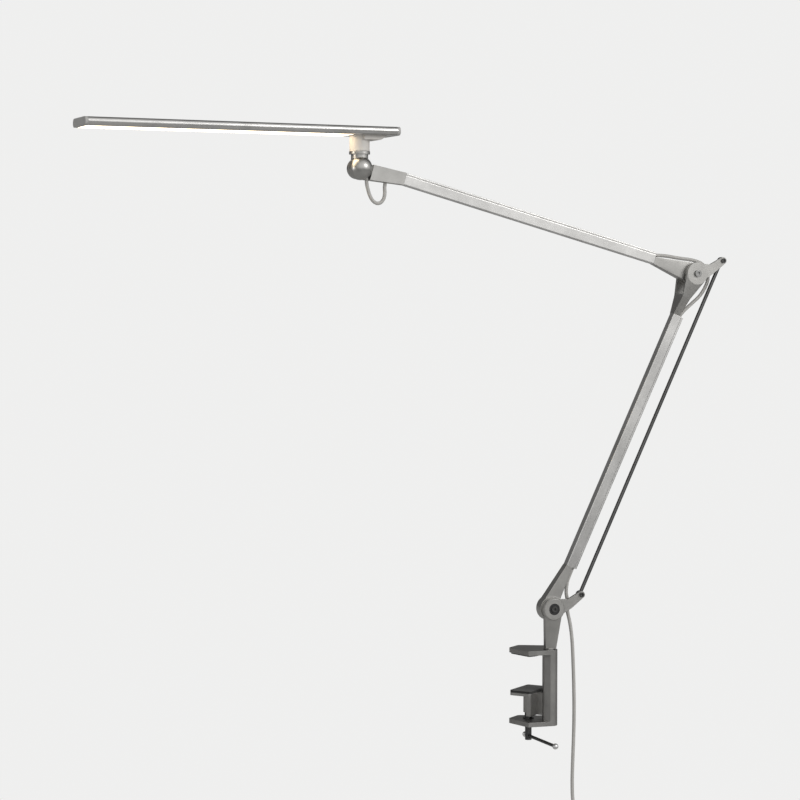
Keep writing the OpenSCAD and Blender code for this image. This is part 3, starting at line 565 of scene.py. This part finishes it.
def line_mesh(points: Iterable[Vector]) -> bpy.types.Mesh:
    """A mesh of points joined by edges, in order.

    Args:
        points: The points in the row frame.

    Returns:
        The mesh.
    """
    places = [tuple(p) for p in points]
    mesh = bpy.data.meshes.new("line")
    mesh.from_pydata(places, [(i, i + 1) for i in range(len(places) - 1)], [])
    return mesh


def point_mesh(points: Iterable[Vector]) -> bpy.types.Mesh:
    """A mesh of separate points.

    Args:
        points: The points in the row frame.

    Returns:
        The mesh.
    """
    mesh = bpy.data.meshes.new("points")
    mesh.from_pydata([tuple(p) for p in points], [], [])
    return mesh


def tube_recipe(name: str, finish: Finish) -> Recipe:
    """A recipe that sweeps a round section along a line.

    Args:
        name: The tree's name.
        finish: The finish of the tube.

    Returns:
        The recipe, with inputs Radius and Sides.
    """
    recipe = Recipe(name)
    radius = recipe.size("Radius", 1.9 * MM)
    sides = recipe.size("Sides", 16)
    curve = add(recipe.tree, "GeometryNodeMeshToCurve", Mesh=recipe.entry.outputs["Geometry"])
    ring = add(recipe.tree, "GeometryNodeCurvePrimitiveCircle", Resolution=sides, Radius=radius)
    tube = recipe.tree.nodes.new("GeometryNodeCurveToMesh")
    link(recipe.tree, curve.outputs["Curve"], tube.inputs["Curve"])
    link(recipe.tree, ring.outputs["Curve"], tube.inputs["Profile Curve"])
    tube.inputs["Fill Caps"].default_value = True
    recipe.close(tube.outputs["Mesh"], finish)
    return recipe


def smooth_route(points: Sequence[Vector], step: float = 2.5 * MM) -> list[Vector]:
    """A smooth line through points.

    Args:
        points: The points to pass through.
        step: Distance between the points of the result.

    Returns:
        Points of a centripetal spline, close together.
    """
    ends = [points[0] * 2 - points[1], *points, points[-1] * 2 - points[-2]]
    route: list[Vector] = []
    for p0, p1, p2, p3 in zip(ends, ends[1:], ends[2:], ends[3:]):
        t1 = (p1 - p0).length ** 0.5
        t2 = t1 + (p2 - p1).length ** 0.5
        t3 = t2 + (p3 - p2).length ** 0.5
        count = max(1, round((p2 - p1).length / step))
        for i in range(count):
            t = t1 + (t2 - t1) * i / count
            a1 = p0 * ((t1 - t) / t1) + p1 * (t / t1)
            a2 = p1 * ((t2 - t) / (t2 - t1)) + p2 * ((t - t1) / (t2 - t1))
            a3 = p2 * ((t3 - t) / (t3 - t2)) + p3 * ((t - t2) / (t3 - t2))
            b1 = a1 * ((t2 - t) / t2) + a2 * (t / t2)
            b2 = a2 * ((t3 - t) / (t3 - t1)) + a3 * ((t - t1) / (t3 - t1))
            route.append(b1 * ((t2 - t) / (t2 - t1)) + b2 * ((t - t1) / (t2 - t1)))
    route.append(points[-1].copy())
    return route


def lathe_recipe(name: str, finish: Finish) -> Recipe:
    """A recipe that turns an outline about the Z axis through its own origin.

    Args:
        name: The tree's name.
        finish: The finish of the turned piece.

    Returns:
        The recipe, with input Segments.
    """
    recipe = Recipe(name)
    segments = recipe.size("Segments", 96)
    tree = recipe.tree
    outline = add(tree, "GeometryNodeMeshToCurve", Mesh=recipe.entry.outputs["Geometry"])
    circle = add(tree, "GeometryNodeCurvePrimitiveCircle", Resolution=segments, Radius=1.0)
    turned = tree.nodes.new("GeometryNodeCurveToMesh")
    link(tree, circle.outputs["Curve"], turned.inputs["Curve"])
    link(tree, outline.outputs["Curve"], turned.inputs["Profile Curve"])
    where = tree.nodes.new("GeometryNodeInputPosition")
    parts = add(tree, "ShaderNodeSeparateXYZ", Vector=where.outputs["Position"])
    flat = tree.nodes.new("ShaderNodeCombineXYZ")
    link(tree, parts.outputs["X"], flat.inputs["X"])
    link(tree, parts.outputs["Y"], flat.inputs["Y"])
    unit = add(tree, "ShaderNodeVectorMath", operation="NORMALIZE")
    link(tree, flat.outputs["Vector"], unit.inputs[0])
    back = add(tree, "ShaderNodeVectorMath", operation="SUBTRACT")
    link(tree, where.outputs["Position"], back.inputs[0])
    link(tree, unit.outputs["Vector"], back.inputs[1])
    placed = add(
        tree, "GeometryNodeSetPosition", Geometry=turned.outputs["Mesh"], Position=back.outputs["Vector"]
    )
    recipe.close(placed.outputs["Geometry"], finish)
    return recipe


def place_mesh(piece: bpy.types.Object, origin: Vector, axis: Vector) -> None:
    """Moves a piece's mesh so that its own Z axis lies along axis and starts at origin.

    Args:
        piece: A finished piece at the frame's origin.
        origin: Where its own origin goes.
        axis: Unit vector that its Z axis gets.
    """
    turn = Vector((0, 0, 1)).rotation_difference(axis).to_matrix().to_4x4()
    piece.data.transform(Matrix.Translation(origin) @ turn)
    piece.data.update()


def hoop_recipe(name: str, finish: Finish) -> Recipe:
    """A recipe that sets a round hoop, level with the frame, on every point.

    Args:
        name: The tree's name.
        finish: The finish of the hoops.

    Returns:
        The recipe, with inputs Hoop Radius and Wire Radius.
    """
    recipe = Recipe(name)
    hoop = recipe.size("Hoop Radius", 4 * MM)
    wire = recipe.size("Wire Radius", 0.5 * MM)
    tree = recipe.tree
    path = add(tree, "GeometryNodeCurvePrimitiveCircle", Resolution=40, Radius=hoop)
    section = add(tree, "GeometryNodeCurvePrimitiveCircle", Resolution=10, Radius=wire)
    ring = tree.nodes.new("GeometryNodeCurveToMesh")
    link(tree, path.outputs["Curve"], ring.inputs["Curve"])
    link(tree, section.outputs["Curve"], ring.inputs["Profile Curve"])
    spread = add(tree, "GeometryNodeInstanceOnPoints", Points=recipe.entry.outputs["Geometry"])
    link(tree, ring.outputs["Mesh"], spread.inputs["Instance"])
    recipe.close(spread.outputs["Instances"], finish)
    return recipe


# ------------------------------------------------------------------ camera and studio


@dataclass
class Studio:
    """Camera, soft lights and an even pale surrounding, brighter on the lamp's near side."""

    eye: Vector = field(default_factory=lambda: Vector((-2.2319, -1.1338, 0.3819)))
    look: Vector = field(default_factory=lambda: Vector((0.86404, 0.50167, -0.04206)))
    lens: float = 103.68
    paper: Colour = (0.865, 0.865, 0.86)
    bright_side: Vector = field(default_factory=lambda: Vector((-0.374, -0.926, 0.05)))
    floor_drop: float = 0.45
    floor_size: float = 60.0
    dim: float = 0.16
    bright: float = 1.02

    def camera(self) -> None:
        """Puts the camera at its viewing angle."""
        data = bpy.data.cameras.new("camera")
        data.lens = self.lens
        data.sensor_width = 36.0
        data.clip_end = 50.0
        camera = bpy.data.objects.new("camera", data)
        camera.location = self.eye
        camera.rotation_euler = self.look.to_track_quat("-Z", "Y").to_euler()
        bpy.context.scene.collection.objects.link(camera)
        bpy.context.scene.camera = camera

    def lamp(self, name: str, place: Vector, size: float, power: float, colour: Colour) -> None:
        """Adds a soft area light aimed at the lamp.

        Args:
            name: The light's name.
            place: Where it hangs.
            size: Side of its square, in metres.
            power: Its power in watts.
            colour: Its colour.
        """
        data = bpy.data.lights.new(name, "AREA")
        data.size = size
        data.energy = power
        data.color = colour
        light = bpy.data.objects.new(name, data)
        light.location = place
        light.rotation_euler = (Vector((0, 0, 0.25)) - place).to_track_quat("-Z", "Y").to_euler()
        bpy.context.scene.collection.objects.link(light)

    def floor(self) -> None:
        """Lays a wide plain floor, which the camera sees as evenly as the surrounding."""
        half = self.floor_size / 2
        height = CAD_BOX[0].z - self.floor_drop
        corners = [(-half, -half, height), (half, -half, height), (half, half, height), (-half, half, height)]
        mesh = bpy.data.meshes.new("floor")
        mesh.from_pydata(corners, [], [(0, 1, 2, 3)])
        floor = bpy.data.objects.new("floor", mesh)
        material = bpy.data.materials.new("floor_paper")
        material.use_nodes = True
        tree = material.node_tree
        shader = tree.nodes["Principled BSDF"]
        shader.inputs["Base Color"].default_value = (0.7, 0.7, 0.695, 1.0)
        shader.inputs["Roughness"].default_value = 0.95
        shown = add(tree, "ShaderNodeEmission", Color=(*self.paper, 1.0), Strength=1.0)
        rays = tree.nodes.new("ShaderNodeLightPath")
        mixer = tree.nodes.new("ShaderNodeMixShader")
        link(tree, rays.outputs["Is Camera Ray"], mixer.inputs[0])
        link(tree, shader.outputs["BSDF"], mixer.inputs[1])
        link(tree, shown.outputs["Emission"], mixer.inputs[2])
        link(tree, mixer.outputs["Shader"], tree.nodes["Material Output"].inputs["Surface"])
        mesh.materials.append(material)
        bpy.context.scene.collection.objects.link(floor)

    def world(self) -> None:
        """Shows even paper to the camera and lights the lamp mostly from its near side."""
        world = bpy.data.worlds.new("studio")
        world.use_nodes = True
        tree = world.node_tree
        lit = tree.nodes["Background"]
        lit.inputs["Color"].default_value = (1.0, 0.995, 0.985, 1.0)
        direction = tree.nodes.new("ShaderNodeTexCoord").outputs["Generated"]
        facing = add(tree, "ShaderNodeVectorMath", operation="DOT_PRODUCT")
        link(tree, direction, facing.inputs[0])
        facing.inputs[1].default_value = self.bright_side.normalized()
        strength = ramp(tree, facing.outputs["Value"], 0.0, 0.75, (self.dim, self.bright))
        link(tree, strength, lit.inputs["Strength"])
        shown = add(tree, "ShaderNodeBackground", Color=(*self.paper, 1.0), Strength=1.0)
        rays = tree.nodes.new("ShaderNodeLightPath")
        mixer = tree.nodes.new("ShaderNodeMixShader")
        link(tree, rays.outputs["Is Camera Ray"], mixer.inputs[0])
        link(tree, lit.outputs["Background"], mixer.inputs[1])
        link(tree, shown.outputs["Background"], mixer.inputs[2])
        link(tree, mixer.outputs["Shader"], tree.nodes["World Output"].inputs["Surface"])
        bpy.context.scene.world = world

    def build(self) -> None:
        """Sets up the whole studio."""
        bpy.context.scene.view_settings.view_transform = "Standard"
        bpy.context.scene.view_settings.look = "None"
        self.camera()
        self.world()
        self.floor()
        side = self.look.cross(Vector((0, 0, 1))).normalized()
        self.lamp("key", side * 2.0 - self.look * 1.4 + Vector((0, 0, 1.5)), 1.1, 16.0, (1.0, 0.99, 0.97))
        self.lamp("fill", -side * 2.0 - self.look * 0.8 + Vector((0, 0, 0.4)), 0.5, 3.0, (1.0, 1.0, 1.0))


# ------------------------------------------------------------------ cables


@dataclass
class Lead:
    """One stretch of the inner cable, which crosses one pivot.

    Attributes:
        node: The CAD node it stands for.
        rides: The body at its start and the body at its end; not used.
        route: Points as (frame, x, z).
        bend: Where the bend begins and ends, as (frame, x, z); build works these points out but does not use
            them.
    """

    node: str
    rides: tuple[str, str]
    route: list[tuple[Side, float, float]]
    bend: tuple[tuple[Side, float, float], tuple[Side, float, float]]

    def build(self, recipe: Recipe, radius: float) -> bpy.types.Object:
        """Makes the stretch.

        Args:
            recipe: The tube recipe.
            radius: The cable's radius in metres.

        Returns:
            The finished piece.
        """
        points = smooth_route([PLANE.point(s, x, z) for s, x, z in self.route])
        piece = recipe.make(self.node + "_cable", line_mesh(points), Radius=radius, Sides=16)
        start, end = (PLANE.point(s, x, z) for s, x, z in self.bend)
        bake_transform(piece)
        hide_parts(self.node)
        return piece


@dataclass
class MainsCord:
    """The mains cord: down behind the clamp, a tied coil, and a plug-in adapter."""

    diameter: float = 3.8
    pitch: float = 3.9
    coil_x: float = -5.3
    coil_z: float = -198.0
    coil_r: float = 21.2
    side_gap: float = 9.9
    drop: list[Point] = field(
        default_factory=lambda: [
            (-20.5, 51), (-20.5, 48.5), (-20.9, 45), (-22.4, 39), (-24.2, 30), (-25.8, 18), (-26.8, 4),
            (-27.6, -14), (-28.3, -34), (-28.7, -54), (-28.6, -76), (-28, -98), (-27.2, -120), (-26.8, -142),
        ]
    )
    adapter_top: float = -246.0

    def layer_radius(self, layer: int) -> float:
        """Radius of a layer of turns, the outermost first."""
        return self.coil_r + (1 - layer) * self.pitch

    def row_place(self, row: float) -> float:
        """Place across the coil of a row of turns, 0 to 3."""
        return (1.5 - row) * self.pitch

    def wind(self, turn: float) -> tuple[float, float]:
        """Radius and place across of the winding at a number of turns.

        Args:
            turn: Turns from the start, 0 to 12.

        Returns:
            Radius and place across, in millimetres.
        """

        def step(start: float, end: float) -> float:
            """Smooth 0 to 1 while turn goes from start to end."""
            t = min(1.0, max(0.0, (turn - start) / (end - start)))
            return t * t * (3 - 2 * t)

        row = sum(step(k + 0.875, k + 1.0) for k in range(3))
        row -= sum(step(k + 0.5, k + 0.625) for k in range(4, 7))
        row += sum(step(k + 0.125, k + 0.25) for k in range(8, 11))
        layer = step(3.625, 3.75) + step(7.25, 7.375)
        return self.coil_r + (1 - layer) * self.pitch, self.row_place(row)

    def route(self) -> list[Vector]:
        """The cord's centre line from the clip to the adapter."""
        top = [PLANE.point(Side.BASE, x, z) for x, z in self.drop]
        entry_x = self.coil_x - self.layer_radius(0)
        entry_y = self.row_place(0)
        top.append(PLANE.point(Side.BASE, -27.2, -160, 0.9))
        top.append(PLANE.point(Side.BASE, entry_x + 0.9, -178, entry_y - 1.7))
        coil: list[Vector] = []
        turns = 12
        per_turn = 48
        for i in range(turns * per_turn + 1):
            turn = i / per_turn
            radius, across = self.wind(turn)
            angle = math.pi + turn * math.tau
            coil.append(
                PLANE.point(
                    Side.BASE,
                    self.coil_x + radius * math.cos(angle),
                    self.coil_z + radius * math.sin(angle),
                    across,
                )
            )
        inner = self.coil_x - self.layer_radius(2)
        last = -self.row_place(0)
        tail_x = -26.5
        tail = [
            PLANE.point(Side.BASE, inner + 0.3, self.coil_z - 5.5, last - 1.7),
            PLANE.point(Side.BASE, inner - 0.2, self.coil_z - 11, last - 3.4),
            PLANE.point(Side.BASE, inner - 1.8, self.coil_z - 17, -self.side_gap),
            PLANE.point(Side.BASE, tail_x + 0.4, self.coil_z - 24, -self.side_gap + 1.6),
            PLANE.point(Side.BASE, tail_x, self.coil_z - 32, -4.6),
            PLANE.point(Side.BASE, tail_x, self.coil_z - 39, -1.2),
            PLANE.point(Side.BASE, tail_x, self.adapter_top, 0),
        ]
        above = smooth_route([*top, coil[0], coil[1]])[:-1]
        below = smooth_route([coil[-2], coil[-1], *tail])
        return above + coil[2:-2] + below

    def build(self, recipe: Recipe, plug: Sequence[bpy.types.Object]) -> bpy.types.Object:
        """Makes the cord in one piece.

        Args:
            recipe: The tube recipe.
            plug: The pieces at its far end and on it; not used.

        Returns:
            The cord.
        """
        route = self.route()
        cord = recipe.make("mains_cord_cable", line_mesh(route), Radius=self.diameter / 2 * MM, Sides=12)
        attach(cord, "base_bracket")
        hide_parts("mains_cord", "cord_coil")
        list(plug)
        return cord


@dataclass
class Cables:
    """The four inner leads and the mains cord."""

    diameter: float = 3.8

    def leads(self) -> list[Lead]:
        """The inner leads with their routes."""
        head, upper, elbow, lower, base = (
            Side.HEAD, Side.UPPER, Side.ELBOW, Side.LOWER, Side.BASE,
        )
        return [
            Lead(
                "head_lead",
                ("upper_arm", "knuckle"),
                [(upper, x, z) for x, z in (
                    (200, 6.4), (335, 6.4), (350, 6.4), (357, 5.8), (363, 3.6), (367, -0.2),
                    (368.8, -4.5), (368.8, -7.5))]
                + [(head, x, z) for x, z in (
                    (-27.6, -19.2), (-27.8, -25.5), (-26.6, -31.5), (-23, -35.6), (-18.8, -36.2),
                    (-14.6, -33.6), (-11.4, -28.5), (-9.2, -22), (-7.8, -15.5), (-7.5, -9), (-7.5, -0.3),
                    (-7.05, 1.7), (-5.6, 3.6), (-1.9, 8.5), (-0.4, 11), (0, 13.5), (0, 27))],
                ((head, -27.6, -19.2), (head, -9.2, -22)),
            ),
            Lead(
                "upper_lead",
                ("elbow_lever", "upper_arm"),
                [(upper, x, z) for x, z in (
                    (200, 6.4), (56, 6.4), (50, 6.6), (44, 8), (36, 9.7), (26, 11), (16, 12.4),
                    (5, 14.1), (-5.5, 14.1), (-12, 12.3))]
                + [(elbow, x, z) for x, z in ((-18, 6.9), (-19, 5), (-19, 2.5))],
                ((elbow, -19, 6), (upper, 40, 9)),
            ),
            Lead(
                "lower_lead",
                ("lower_arm", "elbow_lever"),
                [(elbow, -19, 2.5), (elbow, -19, 0)]
                + [(lower, 400 + x, z) for x, z in (
                    (2.5, -19.9), (-6, -20.6), (-18, -18.7), (-29, -13.9), (-38.5, -9.4), (-44, -7.2),
                    (-49.5, -5.9), (-62, -5.9), (-200, -5.9))],
                ((lower, 352, -5.9), (elbow, -19, 0)),
            ),
            Lead(
                "base_lead",
                ("base_bracket", "lower_arm"),
                [(lower, x, z) for x, z in ((200, -5.9), (54, -5.9), (44, -6), (35, -6.4), (27.5, -8.4))]
                + [(base, x, z) for x, z in ((-19.1, 66), (-20.3, 60), (-20.5, 57.5), (-20.5, 51))],
                ((base, -20.5, 58), (lower, 40, -6)),
            ),
        ]

    def build(self, plug: Sequence[bpy.types.Object]) -> None:
        """Makes all cables.

        Args:
            plug: The pieces on the mains cord.
        """
        recipe = tube_recipe("cable_sweep", Finishes.cable)
        MainsCord(self.diameter).build(recipe, plug)
        for lead in self.leads():
            lead.build(recipe, self.diameter / 2 * MM)
            LOG.info("%s done", lead.node)


# ------------------------------------------------------------------ sub-assemblies


@dataclass
class Clamp:
    """Fixed jaw, moving jaw, screw and T-bar.

    Attributes:
        thread_r: Radius of the thread's line, in millimetres like the next three.
        thread_low: Height at which the thread starts.
        thread_pitch: Rise of the thread in one turn.
        thread_wire: Radius of the thread's ridge.
        thread_turns: Number of turns.
        turn_steps: Points in one turn.
    """

    thread_r: float = 3.86
    thread_low: float = -69.0
    thread_pitch: float = 1.25
    thread_wire: float = 0.32
    thread_turns: int = 17
    turn_steps: int = 24

    def thread_route(self) -> list[Vector]:
        """The helix of the thread about the screw's axis, which is the frame's own Z."""
        angles = (math.tau * i / self.turn_steps for i in range(self.turn_steps * self.thread_turns))
        return [
            Vector((
                self.thread_r * math.cos(a),
                self.thread_r * math.sin(a),
                self.thread_low + self.thread_pitch * a / math.tau,
            )) * MM
            for a in angles
        ]

    def build(self) -> None:
        """Dresses the clamp's nodes."""
        for node, finish in {
            "clamp_frame": Finishes.clamp,
            "moving_jaw": Finishes.clamp,
            "top_jaw_pad": Finishes.rubber,
            "moving_jaw_pad": Finishes.rubber,
            "swivel_bush": Finishes.black,
            "clamp_screw": Finishes.dark_steel,
            "screw_clip": Finishes.dark_steel,
            "t_bar": Finishes.dark_steel,
            "t_bar_balls": Finishes.polished,
        }.items():
            dress(node, finish)
        thread = tube_recipe("screw_thread_sweep", Finishes.dark_steel)
        route = line_mesh(self.thread_route())
        piece = thread.make("clamp_screw_thread", route, Radius=self.thread_wire * MM, Sides=6)
        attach(piece, "clamp_screw")
        LOG.info("clamp done")


@dataclass
class Base:
    """Swivelling bracket with the lower pivot."""

    def build(self) -> None:
        """Dresses the bracket's nodes."""
        for node, finish in {
            "base_bracket": Finishes.casting,
            "base_bolt": Finishes.dark_steel,
            "base_bolt_ring": Finishes.black,
            "base_nut": Finishes.fixing,
            "base_washers": Finishes.washer,
            "base_cord_clip": Finishes.black,
            "base_horn_pin": Finishes.dark_steel,
        }.items():
            dress(node, finish)
        LOG.info("base done")


@dataclass
class Arms:
    """Both arms, the elbow and the tie rod.

    Attributes:
        fork_half: Half the width of the elbow fork, on which the cap sits, in millimetres.
        cap_outline: Radius and height of the cap's dome, from its hole to its rim.
    """

    fork_half: float = 13.7
    cap_outline: tuple[Point, ...] = (
        (4.2, 0.6), (4.2, 2.0), (4.7, 2.5), (5.6, 2.85), (7.0, 2.95), (8.4, 2.8), (9.6, 2.4),
        (10.5, 1.9), (11.1, 1.3), (11.42, 0.7), (11.5, 0.02),
    )

    def build(self) -> None:
        """Dresses the arms' nodes."""
        for node, finish in {
            "lower_connector": Finishes.casting,
            "lower_tube": Finishes.lower_tube,
            "lower_cover": Finishes.lower_tube,
            "lower_tube_screws": Finishes.fixing,
            "elbow_fork": Finishes.casting,
            "elbow_bolt": Finishes.fixing,
            "elbow_nut": Finishes.fixing,
            "elbow_washers": Finishes.washer,
            "tie_rod": Finishes.rod,
            "elbow_lever": Finishes.casting,
            "elbow_lever_pin": Finishes.dark_steel,
            "elbow_cord_clip": Finishes.black,
            "rear_connector": Finishes.casting,
            "upper_tube": Finishes.upper_tube,
            "upper_cover": Finishes.upper_tube,
            "upper_tube_screws": Finishes.fixing,
            "front_connector": Finishes.casting,
        }.items():
            dress(node, finish)
        outline = line_mesh(Vector((r, z, 0)) * MM for r, z in self.cap_outline)
        cap = lathe_recipe("elbow_cap_turning", Finishes.cap)
        piece = cap.make("elbow_cap_dome", outline, Segments=96)
        place_mesh(piece, PLANE.point(Side.ELBOW, 0, 0, self.fork_half), PLANE.across)
        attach(piece, "lower_arm")
        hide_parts("elbow_cap")
        LOG.info("arms done")


@dataclass
class Head:
    """Knuckle, post and light bar."""

    def build(self) -> None:
        """Dresses the head's nodes."""
        for node, finish in {
            "knuckle": Finishes.casting,
            "head_bolt": Finishes.fixing,
            "swivel_pin": Finishes.fixing,
            "swivel_washer": Finishes.washer,
            "pin_clip": Finishes.dark_steel,
            "post": Finishes.head_grey,
            "shoe": Finishes.head_grey,
            "shoe_screws": Finishes.fixing,
            "bar_shell": Finishes.bar,
            "led_board": Finishes.board,
            "leds": Finishes.diode,
            "diffuser": Finishes.diffuser,
            "end_cap_front": Finishes.cap_grey,
            "end_cap_rear": Finishes.cap_grey,
            "touch_pad": Finishes.polished,
        }.items():
            dress(node, finish)
        LOG.info("head done")


@dataclass
class Plug:
    """Plug-in adapter and the coil's tie.

    Attributes:
        relief_x: Where the strain relief stands, in millimetres like the next four.
        rib_low: Height of the lowest rib.
        rib_pitch: Distance between ribs.
        rib_r: Radius of a rib's line.
        rib_wire: Half the thickness of a rib.
        rib_count: Number of ribs.
    """

    relief_x: float = -26.5
    rib_low: float = -258.0
    rib_pitch: float = 2.4
    rib_r: float = 3.9
    rib_wire: float = 0.6
    rib_count: int = 5

    def build(self) -> list[bpy.types.Object]:
        """Dresses the adapter.

        Returns:
            The pieces on the mains cord.
        """
        dress("power_adapter", Finishes.adapter)
        dress("adapter_pins", Finishes.brass)
        dress("cord_tie", Finishes.black)
        ribs = hoop_recipe("strain_relief_ribs", Finishes.adapter)
        places = [
            PLANE.point(Side.BASE, self.relief_x, self.rib_low + self.rib_pitch * k)
            for k in range(self.rib_count)
        ]
        piece = ribs.make(
            "strain_relief_ribs",
            point_mesh(places),
            Hoop_Radius=self.rib_r * MM,
            Wire_Radius=self.rib_wire * MM,
        )
        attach(piece, "base_bracket")
        LOG.info("plug done")
        nodes = [frame["nodes"][n] for n in ("power_adapter", "adapter_pins", "cord_tie")]
        return [*nodes, piece]


def main() -> None:
    """Builds the studio and every sub-assembly in order."""
    logging.basicConfig(level=logging.INFO)
    Studio().build()
    Cables().build(Plug().build())
    builders: list[Callable[[], None]] = [Clamp().build, Base().build, Arms().build, Head().build]
    for build in builders:
        build()


if __name__ == "__main__":
    main()
